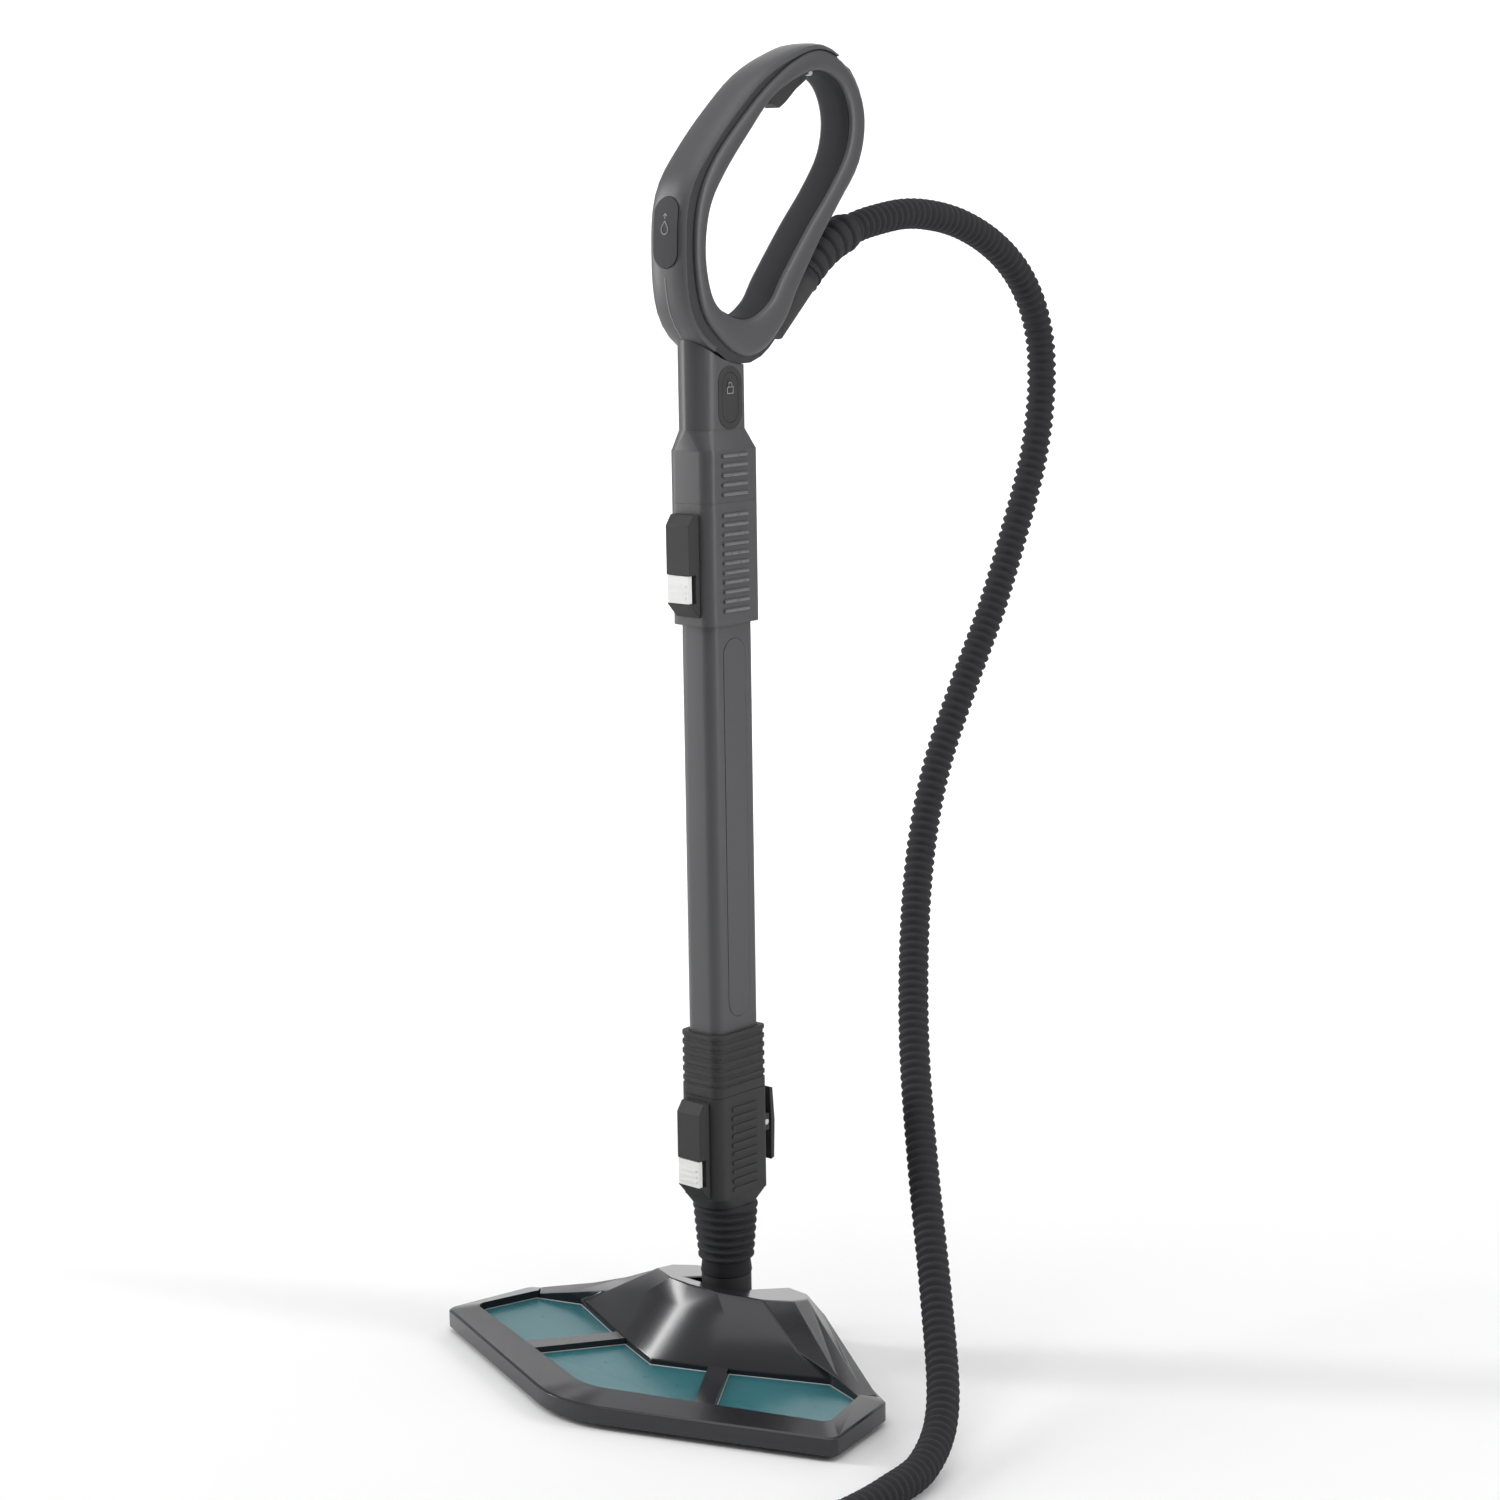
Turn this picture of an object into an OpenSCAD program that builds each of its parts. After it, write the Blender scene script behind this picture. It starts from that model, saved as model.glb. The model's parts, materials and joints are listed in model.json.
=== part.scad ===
// Steam floor mop: loop handle, extension tube, swivel neck, delta floor brush and steam hose.
// Millimetres. +Z up, -Y is the front (nose of the brush), origin on the floor under the neck axis.

/* [Floor brush] */
// Width of the brush across its tips
brush_w = 368; // [300:2:444]
// Reach of the nose in front of the neck axis
nose_y = 164; // [150:1:190]
// Reach of the tips in front of the neck axis
tip_y = 99; // [90:1:110]
// Reach of the tail behind the neck axis
tail_y = 62; // [56:1:80]
// Height of the outer rim above the floor
rim_h = 16.5; // [15:0.5:20]
// Height of the dome's front edge above the floor
dome_h = 60; // [56:1:66]
// Wall of the moulded covers
shell_t = 2.5; // [2:0.25:3]
// Thickness of the see-through windows
window_t = 2; // [1.5:0.25:3]
// Width of the two bars between the windows
bar_w = 14; // [10:1:18]
// Length of the bristles below the sole plate
bristle_l = 6; // [5:0.5:8]

/* [Swivel neck] */
// Diameter of the yoke's trunnion
trunnion_d = 30; // [26:1:34]
// Diameter of the neck's stem
stem_d = 35; // [32:1:42]
// Diameter of the pivot pins
pin_d = 8; // [6:0.5:9]
// Outer diameter of the swivel spigot
spigot_d = 20; // [18:0.5:24]
// Wall of the boot between its ribs
boot_t = 2.3; // [1.5:0.1:2.5]
// Length of the ribbed boot
boot_h = 52; // [46:1:70]
// Number of ribs on the boot
boot_ribs = 7; // [5:1:8]

/* [Tube] */
// Width of the tube
tube_w = 30; // [28:1:36]
// Depth of the tube, front to back
tube_d = 43; // [38:1:48]
// Wall of the tube
tube_wall = 2; // [1.5:0.25:3]
// Bare length of the tube between its collars
tube_len = 283; // [200:1:450]
// Wall of the sockets and collars at their sides
socket_side = 3.5; // [3:0.25:5]
// Wall of the sockets and collars at front and back
socket_face = 4; // [3.5:0.25:6]
// Length of the brush's socket
lower_socket_h = 73; // [66:1:90]
// Length of the ribbed collar at the tube's foot
lower_collar_h = 44; // [38:1:60]
// Length of the socket at the tube's head
upper_socket_h = 82; // [74:1:100]
// Length of the handle's collar
handle_collar_h = 35; // [30:1:50]
// Spacing of the grip ribs
rib_pitch = 6.4; // [5:0.1:8]
// Thickness of a grip rib
rib_t = 3; // [2:0.25:4]
// Outer diameter of the inner steam pipe
pipe_d = 10; // [8:0.5:12]

/* [Latches] */
// Width of the latch hoods
hood_w = 21; // [18:1:24]
// How far the hoods stand off the sockets
hood_out = 10.5; // [9:0.5:14]
// Height of the white release buttons
release_h = 19; // [15:1:22]
// Travel of the release buttons
release_travel = 3; // [2:0.5:4]

/* [Handle] */
// Thickness of the loop across the machine
loop_w = 30; // [28:1:36]
// Thickness of each raised cheek
cheek_t = 2.8; // [2:0.2:4]
// Length of the neck below the loop
neck_len = 50; // [44:1:60]
// Width of the neck
neck_w = 28; // [26:1:30]
// Length of the lock button
lock_h = 33; // [28:1:36]
// Width of the lock button
lock_w = 15; // [12:1:18]
// Travel of the lock button
lock_travel = 1.5; // [1:0.25:2]
// Width of the steam button
steam_w = 21; // [17:1:23]
// Length of the steam button
steam_h = 46; // [36:1:52]
// Travel of the steam button
steam_travel = 1.2; // [1:0.2:1.6]
// Length of the trigger
trigger_l = 40; // [34:1:46]

/* [Hose] */
// Diameter of the hose
hose_d = 22; // [20:1:26]
// Length of the ribbed cuff
cuff_l = 62; // [54:1:66]
// Number of ribs on the cuff
cuff_ribs = 4; // [3:1:5]
// Length of the connector at the far end
connector_l = 75; // [60:1:80]

/* [Hidden] */

// Fits
run_gap = 0.05;      // radial clearance of a running fit
gap = 0.3;           // clearance between pieces that move or only lie together
seat = 0.1;          // clearance between pieces that are fixed together

// Sizes that several pieces share
nose_out = 6;        // how far the nose stands out in front of its straight edges
cross_pin_r = 2;     // lever and trigger pins
spring_r = 2.5;
spring_wire = 0.3;
pocket_r = 3.4;      // pockets of the latch springs

// Colours
charcoal = "#3f3f42";
black = "#1b1b1d";
dark = "#2a2a2c";
gloss = "#151517";
teal = [0.10, 0.38, 0.42, 0.55];
white = "#f2f2f0";
steel = "#b8bcc0";

// Heights of the stack
sole_t = 3;
pivot_z = dome_h - 26;
swivel_z = dome_h;
boot_top = swivel_z + boot_h;
chin_h = 8;
socket_z = boot_top + chin_h;
lower_seam = socket_z + lower_socket_h;
collar_top = lower_seam + lower_collar_h;
tube_head = collar_top + tube_len;
upper_seam = tube_head + upper_socket_h;
handle_z = upper_seam + handle_collar_h;
neck_z = handle_z + 13;
loop_z = handle_z + neck_len;

// Section of the wand: front faces lie ahead of the axis, which runs through the steam pipe
block_w = tube_w + 2 * socket_side;
block_d = tube_d + 2 * socket_face;
centre_y = -0.5;
block_f = centre_y - block_d / 2;
block_b = centre_y + block_d / 2;
tube_f = centre_y - tube_d / 2;
tube_b = centre_y + tube_d / 2;
neck_f = block_f - 0.4;
neck_b = block_b - 6;
front_r = 8;
back_r = 4;
stem_r = stem_d / 2;
spigot_r = spigot_d / 2;
trunnion_r = trunnion_d / 2;
boot_in = stem_r - boot_t;
sleeve_r = boot_in - 0.2;
boot_r = stem_r + 2;
boot_top_r = boot_r + 3.5;
slot_w = 2 * boot_r + 4;
tower_t = 10;
tower_d = 26;
tower_x = (slot_w + tower_t) / 2;
pin_inner = stem_r - 8.5;
ring_t = 2.5;
ring_z = swivel_z + 38.5;
spigot_top = ring_z + ring_t + 3;
steam_r = 4.5;
hood_f = block_f - hood_out;
hood_root = block_f - 0.1;
lower_hood_top = lower_seam - 3;
lower_window = socket_z + 11;
upper_hood_top = upper_seam - 7;
upper_window = upper_hood_top - 40 - release_h;
lock_z = handle_z + 34;
lock_y = 2.4;
bezel_x = 5.6;
trigger_at = [90, loop_z + 197];
screw_spots = [[brush_w / 2 - 54, -52], [34, -84]];
screw_r = 1.5;
screw_head_r = 3;
screw_l = 4.8;
tube_foot = socket_z + 14;
tube_tip = tube_head + 20;
inlay_w = 22;
inlay_h = tube_len - 20;
inlay_z = collar_top + tube_len / 2;

// ---------- helpers ----------

function unit(v) = v / norm(v);
function mix(a, b, t) = a + (b - a) * t;
function arc_pts(c, r, a0, a1, n) =
    [for (i = [0:n]) c + r * [cos(mix(a0, a1, i / n)), sin(mix(a0, a1, i / n))]];

// Rounded section seen from above, counter-clockwise from the front
function section(w, f, b, rf, rb, n = 5) = concat(
    arc_pts([w / 2 - rf, f + rf], rf, -90, 0, n),
    arc_pts([w / 2 - rb, b - rb], rb, 0, 90, n),
    arc_pts([rb - w / 2, b - rb], rb, 90, 180, n),
    arc_pts([rf - w / 2, f + rf], rf, 180, 270, n));

function lift(pts, z) = [for (p = pts) [p[0], p[1], z]];

// Points of one rounded corner at b, between a and c
function corner_pts(a, b, c, r, n) =
    let (u = unit(a - b), v = unit(c - b), half = acos(u * v) / 2)
    let (d = r / tan(half), m = b + unit(u + v) * r / sin(half))
    let (p = b + u * d - m, q = b + v * d - m)
    [for (i = [0:n]) m + unit(mix(p, q, i / n)) * r];

// Outline with rounded corners, from a list of [x, y, radius]
function rounded(c, n = 4) = let (k = len(c)) [for (i = [0:k - 1])
    let (a = c[(i + k - 1) % k], b = c[i], d = c[(i + 1) % k])
    each corner_pts([a[0], a[1]], [b[0], b[1]], [d[0], d[1]], b[2], n)];

// Outline moved outwards by d
function grown(pts, d) = let (k = len(pts)) [for (i = [0:k - 1])
    let (u = unit(pts[i] - pts[(i + k - 1) % k]), v = unit(pts[(i + 1) % k] - pts[i]))
    let (a = [u[1], -u[0]], m = unit(a + [v[1], -v[0]]))
    pts[i] + m * d / (m * a)];

// Triangles over a ring of n points: a fan from its first point and one from its last, and a bridge
function cap(n) = let (m = n / 2) concat([for (j = [1:m - 2]) [0, j, j + 1]],
    [[0, m - 1, m], [0, m, n - 1]], [for (j = [m:n - 3]) [n - 1, j, j + 1]]);

// Solid through stacked rings of equal length, lowest first
module loft(rings) {
    n = len(rings[0]);
    k = len(rings);
    last = (k - 1) * n;
    polyhedron(
        points = [for (ring = rings) each ring],
        faces = concat(
            cap(n),
            [for (f = cap(n)) [last + f[2], last + f[1], last + f[0]]],
            [for (i = [0:k - 2]) for (j = [0:n - 1])
                let (a = i * n + j, b = a + n, d = i * n + (j + 1) % n, c = d + n)
                each (2 * j < n ? [[a, b, d], [b, c, d]] : [[a, b, c], [a, c, d]])]));
}

// Closed band: the rings join end to end
module band(rings) {
    n = len(rings[0]);
    k = len(rings);
    polyhedron(
        points = [for (ring = rings) each ring],
        faces = [for (i = [0:k - 1]) for (j = [0:n - 1])
            [i * n + j, ((i + 1) % k) * n + j, ((i + 1) % k) * n + (j + 1) % n,
             i * n + (j + 1) % n]]);
}

function tangents(p) = let (n = len(p) - 1)
    [for (i = [0:n]) unit(p[min(i + 1, n)] - p[max(i - 1, 0)])];
function carried(t, up, i = 0) = i == len(t) ? [] :
    let (v = unit(up - (up * t[i]) * t[i])) concat([v], carried(t, v, i + 1));

// Round bar swept along a path
module sweep(path, r, sides, up) {
    t = tangents(path);
    u = carried(t, up);
    loft([for (i = [0:len(path) - 1]) let (v = cross(t[i], u[i]))
        [for (k = [0:sides - 1]) let (a = 360 * k / sides)
            path[i] + r * (cos(a) * u[i] + sin(a) * v)]]);
}

function spline(a, b, c, d, t) = 0.5 * (2 * b + (c - a) * t + (2 * a - 5 * b + 4 * c - d) * t * t
    + (3 * b - a - 3 * c + d) * t * t * t);
function smooth_open(p, n) = let (k = len(p) - 1) concat(
    [for (i = [0:k - 1]) for (j = [0:n - 1])
        spline(p[max(i - 1, 0)], p[i], p[i + 1], p[min(i + 2, k)], j / n)],
    [p[k]]);
function smooth_closed(p, n) = let (k = len(p)) [for (i = [0:k - 1]) for (j = [0:n - 1])
    spline(p[(i + k - 1) % k], p[i], p[(i + 1) % k], p[(i + 2) % k], j / n)];

// Flat outline with round corners, from the same values as section()
module rounded_flat(w, f, b, rf, rb) {
    for (side = [-1, 1]) {
        translate([side * (w / 2 - rf), f + rf]) circle(rf, $fn = 48);
        translate([side * (w / 2 - rb), b - rb]) circle(rb, $fn = 48);
    }
    translate([rf - w / 2, f]) square([w - 2 * rf, b - f - rb]);
    translate([rb - w / 2, f + rf]) square([w - 2 * rb, b - f - rf]);
    translate([-w / 2, f + rf]) square([w, b - f - rf - rb]);
}

module rounded_bar(w, f, b, rf, rb, z0, z1) {
    translate([0, 0, z0]) linear_extrude(z1 - z0) rounded_flat(w, f, b, rf, rb);
}

module slab(pts, z0, z1) {
    translate([0, 0, z0]) linear_extrude(z1 - z0) polygon(pts);
}

module ring_of(r_out, r_in, z0, z1) {
    translate([0, 0, z0]) difference() {
        cylinder(h = z1 - z0, r = r_out, $fn = 64);
        translate([0, 0, -1]) cylinder(h = z1 - z0 + 2, r = r_in, $fn = 64);
    }
}

// Bar with round ends, standing on the YZ plane and as thick as t along X
module side_pill(y, z, w, h, t) {
    r = min(w, h) / 2;
    translate([0, y, z]) rotate([90, 0, 90]) linear_extrude(t) {
        square([w - (w > h ? 2 * r : 0), h - (w > h ? 0 : 2 * r)], center = true);
        for (s = [-1, 1])
            translate(w > h ? [s * (w / 2 - r), 0] : [0, s * (h / 2 - r)]) circle(r, $fn = 40);
    }
}

module along_x(x, y, z, r, l) {
    translate([x, y, z]) rotate([0, 90, 0]) cylinder(h = l, r = r, $fn = 48);
}

// Coil spring along Z
module coil_spring(r, wire, h, turns) {
    steps = 10 * turns;
    sweep([for (i = [0:steps]) [r * cos(36 * i), r * sin(36 * i), mix(wire, h - wire, i / steps)]],
        wire, 6, [0, 0, 1]);
}

// ---------- floor brush ----------

tip_x = brush_w / 2;
heel_x = tip_x - 14;
heel_y = tip_y - 69;
rim_w = 27;
frame_z = bristle_l - 2;
glass_z = rim_h - 4.5;
ledge_z = glass_z - 1.5;
sole_top = bristle_l + sole_t;

// Rows of bristles follow the rim's front and rear edges, with the steam jets between the front rows
front_slope = atan2(nose_y + nose_out - tip_y, tip_x);
rear_slope = atan2(tail_y + 3 + heel_y, heel_x);
row_x = 4;
row_t = 5;
rear_x = 62;
rear_inset = 23.8776;    // from the rear edge to the rear row's middle
rear_y = tail_y + 3 - rear_x * tan(rear_slope) - rear_inset / cos(rear_slope);
front_rows = [44 - nose_y, 56 - nose_y];
jet_x = [38, 64, 90];
jet_y = (front_rows[0] + front_rows[1]) / 2;
jet_w = 16;
jet_d = 4;
function row_y(x, y) = y + (x - row_x) * tan(front_slope);
hook_x = 50;
hook_l = 60;
hook_w = 10;
strip_l = 110;
strip_w = 12;

// Half outline of the rim at a given inset, then the whole of it
function rim_line(front, side, back, r) = [
    [0, front - nose_y - nose_out, r],
    [tip_x - side, side * 0.8 - tip_y, 7], [heel_x - side, -heel_y - side * 0.4, 8],
    [0, tail_y + 3 - back, r / 3],
    [side - heel_x, -heel_y - side * 0.4, 8], [side - tip_x, side * 0.8 - tip_y, 7]];
brush_outline = rounded(rim_line(0, 0, 0, 80));
brush_inset = rounded(rim_line(1.5, 1.5, 2, 78));
window_outline = rounded(rim_line(rim_w, 17, 22, 52));
ledge_outline = rounded(rim_line(rim_w + 4, 21, 24, 50));

// Half outlines of the dome as [x, y, z], from its front middle to its tail; both() starts at the tail
top_front = -stem_r - 19.5;
top_slope = 0.25;
dome_mid = 6;
core_in = 88;            // where the dome turns from shell to solid, in from the tips
dome_foot = [[0, -78, 0], [46, -60, 0], [tip_x - 66, -27, 0], [tip_x - 32, -38, 0],
    [heel_x - 10, -28, 0], [62, 38, 0], [0, tail_y - 5, 0]];
dome_crease = [[0, -46, dome_h - 13], [38, -43, dome_h - 13], [tip_x - 92, -29, dome_h - 29],
    [tip_x - 56, -30, rim_h + 5], [heel_x - 36, -20, rim_h + 5],
    [62, 32, dome_h - 26], [0, tail_y - 8, dome_h - 26]];
top_line = [[0, top_front], [22, top_front + 3], [50, -18], [58, 6], [54, 25], [42, 38], [0, tail_y - 17]];
dome_top = [for (p = top_line) [p[0], p[1], dome_h - top_slope * (p[1] - top_front)]];

function both(half) = let (k = len(half) - 1)
    concat([half[k]], [for (i = [k - 1:-1:1]) [-half[i][0], half[i][1], half[i][2]]],
        [for (i = [0:k - 1]) half[i]]);
function scaled(ring, k, z) = [for (p = ring) [p[0] * k, (p[1] + dome_mid) * k - dome_mid, p[2] + z]];

module dome_solid(inset) {
    k = 1 - inset / 42;
    loft([
        scaled(both(dome_foot), k, glass_z - inset),
        scaled(both(dome_foot), k, rim_h + 1 - inset),
        scaled(both(dome_crease), k, -inset),
        scaled(both(dome_top), k, -inset)]);
}

module dome_print(grow) {
    slab(grown([for (p = both(dome_foot)) [p[0], p[1]]], grow), glass_z - seat, dome_h);
}

// Edge of a window bar, d outside its middle line
bar_dir = unit([0.56, -0.83]);
bar_out = [-bar_dir[1], bar_dir[0]];
function bar_line(side, d) = [for (t = [-20, 110])
    let (p = [45, -58] + bar_dir * t + bar_out * d) [side * p[0], p[1]]];

module rim_opening(shrink, z0, z1) {
    slab(window_outline * (1 - shrink / 100), z0, z1);
}

module base_frame() {
    color(gloss) difference() {
        union() {
            band([lift(brush_outline, frame_z), lift(brush_outline, rim_h - 1), lift(brush_inset, rim_h),
                lift(window_outline, rim_h + 3), lift(window_outline, glass_z - seat),
                lift(ledge_outline, glass_z - seat), lift(ledge_outline, ledge_z),
                lift(window_outline, ledge_z - seat), lift(window_outline, frame_z)]);
            intersection() {
                rim_opening(-3, ledge_z, dome_h);
                for (side = [-1, 1]) {
                    inner = bar_line(side, -bar_w / 2);
                    outer = bar_line(side, bar_w / 2);
                    slab([inner[0], inner[1], outer[1], outer[0]], glass_z, rim_h + 2);
                }
            }
        }
        dome_print(0.3);
    }
}

module sole_plate() {
    color(dark) difference() {
        union() {
            rim_opening(0.4, bristle_l, sole_top);
            for (side = [-1, 1]) {
                translate([side * tower_x - tower_t / 2, -tower_d / 2, sole_top - 1])
                    cube([tower_t, tower_d, pivot_z - sole_top + 1]);
                for (p = screw_spots) translate([side * p[0], p[1], sole_top - 1])
                    cylinder(h = glass_z - sole_top + 0.5, r = 4, $fn = 32);
            }
        }
        for (side = [-1, 1]) {
            for (x = jet_x) translate([side * x - jet_w / 2, row_y(x, jet_y) - jet_d / 2, bristle_l - 1])
                cube([jet_w, jet_d, sole_t + 2]);
            for (p = screw_spots) translate([side * p[0], p[1], bristle_l - 1]) {
                cylinder(h = screw_l + 1.2, r = screw_r + seat, $fn = 32);
                cylinder(h = 3.2, r = screw_head_r + seat, $fn = 32);
            }
        }
        along_x(-tip_x, 0, pivot_z, pin_d / 2 + run_gap, brush_w);
    }
}

module brush_screws() {
    color(steel) for (side = [-1, 1]) for (p = screw_spots) translate([side * p[0], p[1], bristle_l]) {
        difference() {
            cylinder(h = 2, r = screw_head_r, $fn = 32);
            translate([-0.5, -screw_head_r, -1]) cube([1, 2 * screw_head_r, 1.8]);
        }
        cylinder(h = screw_l, r = screw_r, $fn = 32);
    }
}

module dome_cover() {
    color(gloss) difference() {
        dome_solid(0);
        intersection() {
            dome_solid(shell_t);
            translate([core_in - tip_x, -nose_y, 0]) cube([2 * (tip_x - core_in), 2 * nose_y, dome_h]);
        }
        translate([-slot_w / 2, -stem_r - 3, 0]) cube([slot_w, tail_y + stem_r + 20, 2 * dome_h]);
    }
}

// The see-through panels fill what the dome and the bars leave of the opening
module panel(region) {
    color(teal) difference() {
        intersection() {
            rim_opening(0.4, glass_z, glass_z + window_t);
            slab(region, 0, dome_h);
        }
        dome_print(0.3);
    }
}

module side_panel(side) {
    edge = bar_line(side, bar_w / 2 + seat);
    panel([edge[0], edge[1], [side * brush_w, -brush_w], [side * brush_w, brush_w], [0, brush_w]]);
}

module window_left() { side_panel(-1); }
module window_right() { side_panel(1); }
module window_nose() {
    left = bar_line(-1, -bar_w / 2 - seat);
    right = bar_line(1, -bar_w / 2 - seat);
    panel([left[0], left[1], right[1], right[0]]);
}

// Channel that spreads the steam under the nose
module steam_duct() {
    z = sole_top + seat;
    h = glass_z - gap - z;
    wall = 1.2;
    reach = nose_y - 60;
    half = tip_x / 2;
    duct_w = 14;
    bar_d = 9;
    cup_r = 2 * steam_r;
    cup_h = 5.5;
    color(dark) difference() {
        union() {
            translate([-duct_w / 2, -reach, z]) cube([duct_w, reach, h]);
            translate([-half, -reach, z]) cube([2 * half, bar_d, h]);
            translate([0, 0, z]) cylinder(h = cup_h, r = cup_r, $fn = 48);
        }
        translate([wall - duct_w / 2, wall - reach, z - 1])
            cube([duct_w - 2 * wall, reach - wall, h + 1 - wall]);
        translate([wall - half, wall - reach, z - 1])
            cube([2 * (half - wall), bar_d - 2 * wall, h + 1 - wall]);
        translate([0, 0, z - 1]) cylinder(h = cup_h + 2, r = steam_r, $fn = 48);
    }
}

// Row of tufts from the floor up to the sole, l long, starting at its own origin
module tuft_row(l, pitch = 5) {
    n = floor(l / pitch);
    tip = pitch * 0.36;
    translate([0, row_t / 2, 0]) rotate([90, 0, 0]) linear_extrude(row_t) polygon(concat(
        [[0, bristle_l - seat]],
        [for (i = [0:n - 1]) each [[i * pitch, 2.5], [i * pitch + pitch / 2 - tip, 0],
            [i * pitch + pitch / 2 + tip, 0], [(i + 1) * pitch - 0.6, 2.5]]],
        [[n * pitch, 2.5], [n * pitch, bristle_l - seat]]));
}

module bristles_front() {
    color("#4a4a4c") for (side = [-1, 1]) mirror([side < 0 ? 1 : 0, 0, 0])
        for (y = front_rows) translate([row_x, y, 0]) rotate(front_slope) tuft_row(tip_x - 44);
}

module bristles_rear() {
    color("#4a4a4c") for (side = [-1, 1]) mirror([side < 0 ? 1 : 0, 0, 0])
        translate([rear_x, rear_y, 0]) rotate(-rear_slope) tuft_row(tip_x - 99);
}

module floor_strip() {
    color(black) translate([-strip_l / 2, -strip_w / 2, 0]) cube([strip_l, strip_w, bristle_l - seat]);
}

// Hook-and-loop strips that hold the cloth
module hook_strips() {
    color("#6a6a6c") for (side = [-1, 1]) for (y = [-70, -48, -26])
        translate([side * hook_x - hook_l / 2, y, bristle_l - 1.5]) cube([hook_l, hook_w, 1.5 - seat]);
}

module bearing_cap(side) {
    color(dark) difference() {
        along_x(side * tower_x - tower_t / 2, 0, pivot_z, trunnion_r - 3, tower_t);
        translate([side * tower_x - tower_t, -tail_y, -1])
            cube([2 * tower_t, 2 * tail_y, pivot_z + seat + 1]);
        along_x(side * tower_x - tower_t, 0, pivot_z, pin_d / 2 + run_gap, 2 * tower_t);
    }
}

module bearing_cap_left() { bearing_cap(-1); }
module bearing_cap_right() { bearing_cap(1); }

module pivot_pins() {
    color(steel) for (side = [-1, 1]) mirror([side < 0 ? 1 : 0, 0, 0])
        along_x(pin_inner, 0, pivot_z, pin_d / 2, tower_x + tower_t / 2 - 0.5 - pin_inner);
}

// ---------- yoke ----------

module yoke() {
    color(black) difference() {
        union() {
            along_x(-stem_r, 0, pivot_z, trunnion_r, stem_d);
            translate([0, 0, pivot_z]) cylinder(h = swivel_z - pivot_z, r = stem_r, $fn = 64);
            translate([0, 0, pivot_z]) cylinder(h = spigot_top - pivot_z, r = spigot_r, $fn = 64);
        }
        ring_of(spigot_r + 2, spigot_r - 1, ring_z - seat, ring_z + ring_t + seat);
        translate([0, 0, -1]) cylinder(h = spigot_top + 2, r = steam_r, $fn = 48);
        for (side = [-1, 1]) mirror([side < 0 ? 1 : 0, 0, 0])
            along_x(pin_inner - gap, 0, pivot_z, pin_d / 2 + run_gap, stem_d);
    }
}

module retaining_ring() {
    color(steel) ring_of(spigot_r + 2, spigot_r - 1 + run_gap, ring_z, ring_z + ring_t);
}

module stem_seal() {
    color("#555555") ring_of(boot_in - 0.8, spigot_r + seat, swivel_z + seat, swivel_z + 2 - gap);
}

// ---------- brush socket ----------

// Lofted ends stand a little in from the sockets they run into
step_in = 0.3;
block = section(block_w - 2 * step_in, block_f + step_in, block_b - step_in,
    front_r - step_in, back_r - step_in);
chin_w = min(block_w, 2 * boot_top_r);
chin = section(chin_w, -boot_top_r, boot_top_r, chin_w / 2 - 1, chin_w / 2 - 1);

module block_bar(z0, z1, inset = 0) {
    rounded_bar(block_w - 2 * inset, block_f + inset, block_b - inset,
        front_r - inset, back_r - inset, z0, z1);
}

module tube_space(grow, z0, z1) {
    rounded_bar(tube_w + 2 * grow, tube_f - grow, tube_b + grow, front_r, back_r, z0, z1);
}

module neck_boot() {
    foot = swivel_z + 2 * gap;
    rib0 = swivel_z + 10;
    pitch = (boot_top - rib0) / boot_ribs;
    rib_out = 2.5;
    color(black) rotate_extrude($fn = 96) polygon(concat(
        [[boot_in, foot], [stem_r + 0.5, foot], [stem_r + 0.5, rib0]],
        [for (i = [0:boot_ribs - 1])
            let (z = rib0 + i * pitch, r = mix(boot_r, boot_top_r, i / (boot_ribs - 1)))
            each [[r - rib_out, z + 0.05], [r, z + pitch * 0.25], [r, z + pitch * 0.7],
                [r - rib_out, z + pitch * 0.95]]],
        [[boot_top_r - 1, boot_top], [boot_in, boot_top]]));
}

// Short ribs on both sides of a socket, from z0 up
module grip_ribs(z0, n) {
    rib_l = 26;
    sunk = 0.2;
    proud = 0.9;
    for (side = [-1, 1]) for (i = [0:n - 1])
        translate([side > 0 ? block_w / 2 - sunk : -block_w / 2 - proud, 0, 0])
            side_pill(1, z0 + i * rib_pitch + rib_t / 2, rib_l, rib_t, sunk + proud);
}

module brush_socket() {
    color(black) difference() {
        union() {
            translate([0, 0, swivel_z + 2]) cylinder(h = boot_h, r = sleeve_r, $fn = 64);
            loft([lift(chin, boot_top + seat), lift(block, socket_z)]);
            block_bar(socket_z, lower_seam);
            grip_ribs(socket_z + 4, 10);
        }
        cylinder(h = ring_z, r = spigot_r + run_gap, $fn = 64);
        translate([0, 0, ring_z - 0.5]) cylinder(h = ring_t + 5.5, r = spigot_r + 2.5, $fn = 64);
        translate([0, 0, ring_z]) cylinder(h = lower_socket_h, r = pipe_d / 2 + seat, $fn = 48);
        seal_groove(socket_z + 4);
        tube_space(gap, tube_foot - seat, lower_seam + 1);
        spring_pocket(lower_window);
    }
}

// ---------- latches ----------

button_mid = release_h / 2;
hood_step = block_f - 4;

module spring_pocket(window) {
    translate([0, block_f + 2, window + button_mid]) rotate([90, 0, 0])
        cylinder(h = 9, r = pocket_r, $fn = 32);
}

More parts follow.
